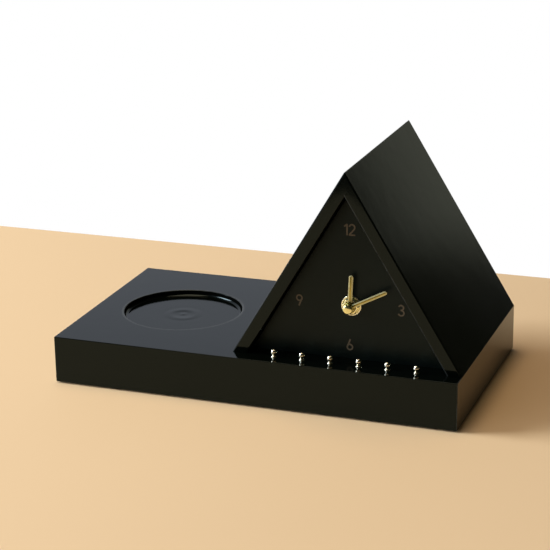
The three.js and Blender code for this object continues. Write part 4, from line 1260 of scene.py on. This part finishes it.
knob_radius, knob_stem = 4 * mm, 2 * mm
disc_round = 0.3 * mm
disc_top = knob_low.y + 1.5 * mm
knob = [
    (0, knob_low.y),
    *quarter(knob_radius - disc_round, knob_low.y + disc_round, disc_round, -90),
    (knob_radius, disc_top), (knob_stem, disc_top),
    *ball_arc(knob_radius, knob_stem, knob_high.y - knob_radius, 24),
]
turned_piece("ball_knob", knob, brass, "panel_knob", at(house_x, 0, knob_z) @ facing_rear)

# %% [markdown]
# The power inlet is a moulded block with a round barrel that looks out of the plinth's back, with
# a centre pin in its bore. Block, barrel and pin overlap as closed forms in one mesh, which looks
# the same from outside as if they were joined, and keeps each of them clean.

# %% Power inlet
jack_low, jack_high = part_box("power_jack")
jack_width, jack_depth, jack_height = 12 * mm, 13 * mm, 11 * mm
barrel_radius, barrel_bore = 5 * mm, 3.2 * mm
pin_radius, pin_chamfer = 1 * mm, 0.4 * mm
inlet_round = 0.4 * mm
barrel_foot = jack_low.y + jack_depth - 1 * mm
barrel_lip = jack_high.y - inlet_round
bore_floor = jack_high.y - 9 * mm
pin_foot, pin_top = bore_floor - 1 * mm, jack_high.y - 1.5 * mm
barrel = [
    (0, barrel_foot), (barrel_radius, barrel_foot),
    *quarter(barrel_radius - inlet_round, barrel_lip, inlet_round, 0),
    *quarter(barrel_bore + inlet_round, barrel_lip, inlet_round, 90),
    (barrel_bore, bore_floor), (0, bore_floor),
]
pin = [
    (0, pin_foot), (pin_radius, pin_foot), (pin_radius, pin_top - pin_chamfer),
    (pin_radius - pin_chamfer, pin_top), (0, pin_top),
]

jack = bmesh.new()
jack_body = Matrix.Diagonal((jack_width, jack_depth, jack_height, 1))
jack_middle = at(jack_x, jack_low.y + jack_depth / 2, jack_z)
bmesh.ops.create_cube(jack, size=1, matrix=jack_middle @ jack_body)
round_edges(jack, jack.edges[:], inlet_round)
for profile, steps in ((barrel, 48), (pin, 24)):
    spin_into(jack, profile, at(jack_x, 0, jack_z) @ facing_rear, steps)
point_outwards(jack)
crease(jack)
add_piece("inlet", jack, black_plastic, "power_jack")

# %% [markdown]
# The feet are thin rubber pads, glued on under the base plate. A pad's lower rim is rounded, so
# that it doesn't peel off when the clock is pushed along a table.

# %% Feet
pad_round = 0.35 * mm
for number in range(1, 5):
    low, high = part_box(f"foot_{number}")
    middle = (low + high) / 2
    radius = (high.x - low.x) / 2
    profile = [
        (0, low.z), *quarter(radius - pad_round, low.z + pad_round, pad_round, -90),
        (radius, high.z), (0, high.z),
    ]
    turned_piece(f"pad_{number}", profile, rubber, f"foot_{number}", at(middle.x, middle.y, 0))

# %% [markdown]
# The object stands on a plain pale table whose far edge lies a little way behind it. One flat face
# is enough, because all that shows on it is a very slight drift of its colour. It reaches far to
# the right, because the housing's gloss mirrors it there.


# %% Table
def table_paint():
    finish = Finish("table_top", Roughness=0.6, Specular_IOR_Level=0.1)
    drift = speckle(finish, place(finish), 0.5, 2)
    pale = rgb(231, 199, 158)
    deeper = tuple(0.97 * part for part in pale[:3]) + (1,)
    return finish.paint(Base_Color=mixed(finish, drift, pale, deeper))


table_far_edge, table_near_edge = 0.258, -0.6
table_left_end, table_right_end = -1.4, 4
table_size = (table_right_end - table_left_end, table_far_edge - table_near_edge, 1, 1)
table_middle = at(
    (table_left_end + table_right_end) / 2, (table_far_edge + table_near_edge) / 2, 0
)
table_mesh = bmesh.new()
bmesh.ops.create_grid(
    table_mesh, x_segments=1, y_segments=1, size=0.5,
    matrix=table_middle @ Matrix.Diagonal(table_size),
)
table_data = bpy.data.meshes.new("table_top")
table_mesh.to_mesh(table_data)
table_mesh.free()
table_data.materials.append(table_paint())
table = bpy.data.objects.new("table_top", table_data)
bpy.context.scene.collection.objects.link(table)
print("table from y", table_near_edge, "to", table_far_edge)

# %% [markdown]
# Black gloss shows its surroundings more than itself, so the room matters more than the lamps.
# A picture of a real room could be wrapped round the scene, but a few masks on the direction of a
# ray are enough and stay adjustable. A direction is an arrow one unit long, so its X, Y and Z say
# how far it points right, back and up. The room is a cool grey on the left and warmer on the
# right, and it is dim overhead, in front and on the right side, which keeps the right-hand slope
# nearly black. Below the horizon it is white: the camera sees that white behind the table, and
# gloss shows it only where the room isn't dim.

# %% Room
white, dim_grey = (1, 1, 1, 1), (0.04, 0.04, 0.04, 1)
cool_air, warm_air = (0.48, 0.51, 0.575, 1), (0.37, 0.375, 0.295, 1)
dim_overhead, dim_right = (0.06, 0.06, 0.065, 1), (0.015, 0.016, 0.008, 1)

world = bpy.data.worlds.new("studio")
bpy.context.scene.world = world
room = Graph(world)
direction = room.node("ShaderNodeTexCoord", {}, {}, "Generated")
sideways = axis_of(room, direction, "X")
forwards = axis_of(room, direction, "Y")
upwards = axis_of(room, direction, "Z")
camera_sees = room.node("ShaderNodeLightPath", {}, {}, "Is Camera Ray")

overhead = above(room, upwards, 0.36, 0.52) * above(room, sideways, -0.62, -0.45)
in_front = above(room, forwards, 0.3, -0.2) * above(room, sideways, -0.6, -0.45)
# The dim right side is narrowest a little above the horizon and widens above and below that
off_level = room.math("ABSOLUTE", upwards - 0.095)
right_side = above(room, sideways + off_level * 0.45, 0.358, 0.408)
below = above(room, upwards, 0.04, -0.03)
lit = (1 - right_side) * (1 - in_front)
below = room.math("MAXIMUM", below * lit, below * camera_sees)

air = mixed(room, above(room, sideways, -0.3, 0.3), cool_air, warm_air)
air = mixed(room, overhead, air, dim_overhead)
air = mixed(room, in_front, air, dim_grey)
air = mixed(room, right_side, air, dim_right)
air = mixed(room, below, air, white)
room.feed(room.tree.nodes["Background"].inputs["Color"], air)
print("the room is worked out by", len(room.tree.nodes), "nodes")

# %% [markdown]
# Three large area lamps give the plain soft light. The window on the left is cool and casts the
# shadow to the right, a warm one overhead fills the plinth's top and the table, and a weak one in
# front lifts the shadow. Gloss would mirror the front one as a bright patch on the dial, so that
# one is hidden from reflections.


# %% Lamps
def softbox(name, spot, aim, width, height, watts, colour=(1, 1, 1)):
    """An area lamp at a spot that looks at a point."""
    light = bpy.data.lights.new(name, "AREA")
    light.shape = "RECTANGLE"
    light.size = width
    light.size_y = height
    light.energy = watts
    light.color = colour
    lamp = bpy.data.objects.new(name, light)
    lamp.location = spot
    lamp.rotation_euler = (Vector(spot) - Vector(aim)).to_track_quat("Z", "Y").to_euler()
    bpy.context.scene.collection.objects.link(lamp)
    return lamp


softbox(
    "window", spot=(-2.9, -0.65, 1.6), aim=(0, 0, 0.05), width=1.5, height=1.8, watts=168,
    colour=(0.84, 0.93, 1),
)
softbox(
    "top_fill", spot=(-0.6, 0.2, 3.8), aim=(0, 0, 0), width=2.2, height=1.8, watts=50,
    colour=(1, 0.77, 0.5),
)
front_fill = softbox(
    "front_fill", spot=(-1.4, -3.0, 0.75), aim=(0, 0, 0.08), width=2.2, height=1.8, watts=40
)
front_fill.visible_glossy = False
print(len(bpy.data.lights), "lamps are set")
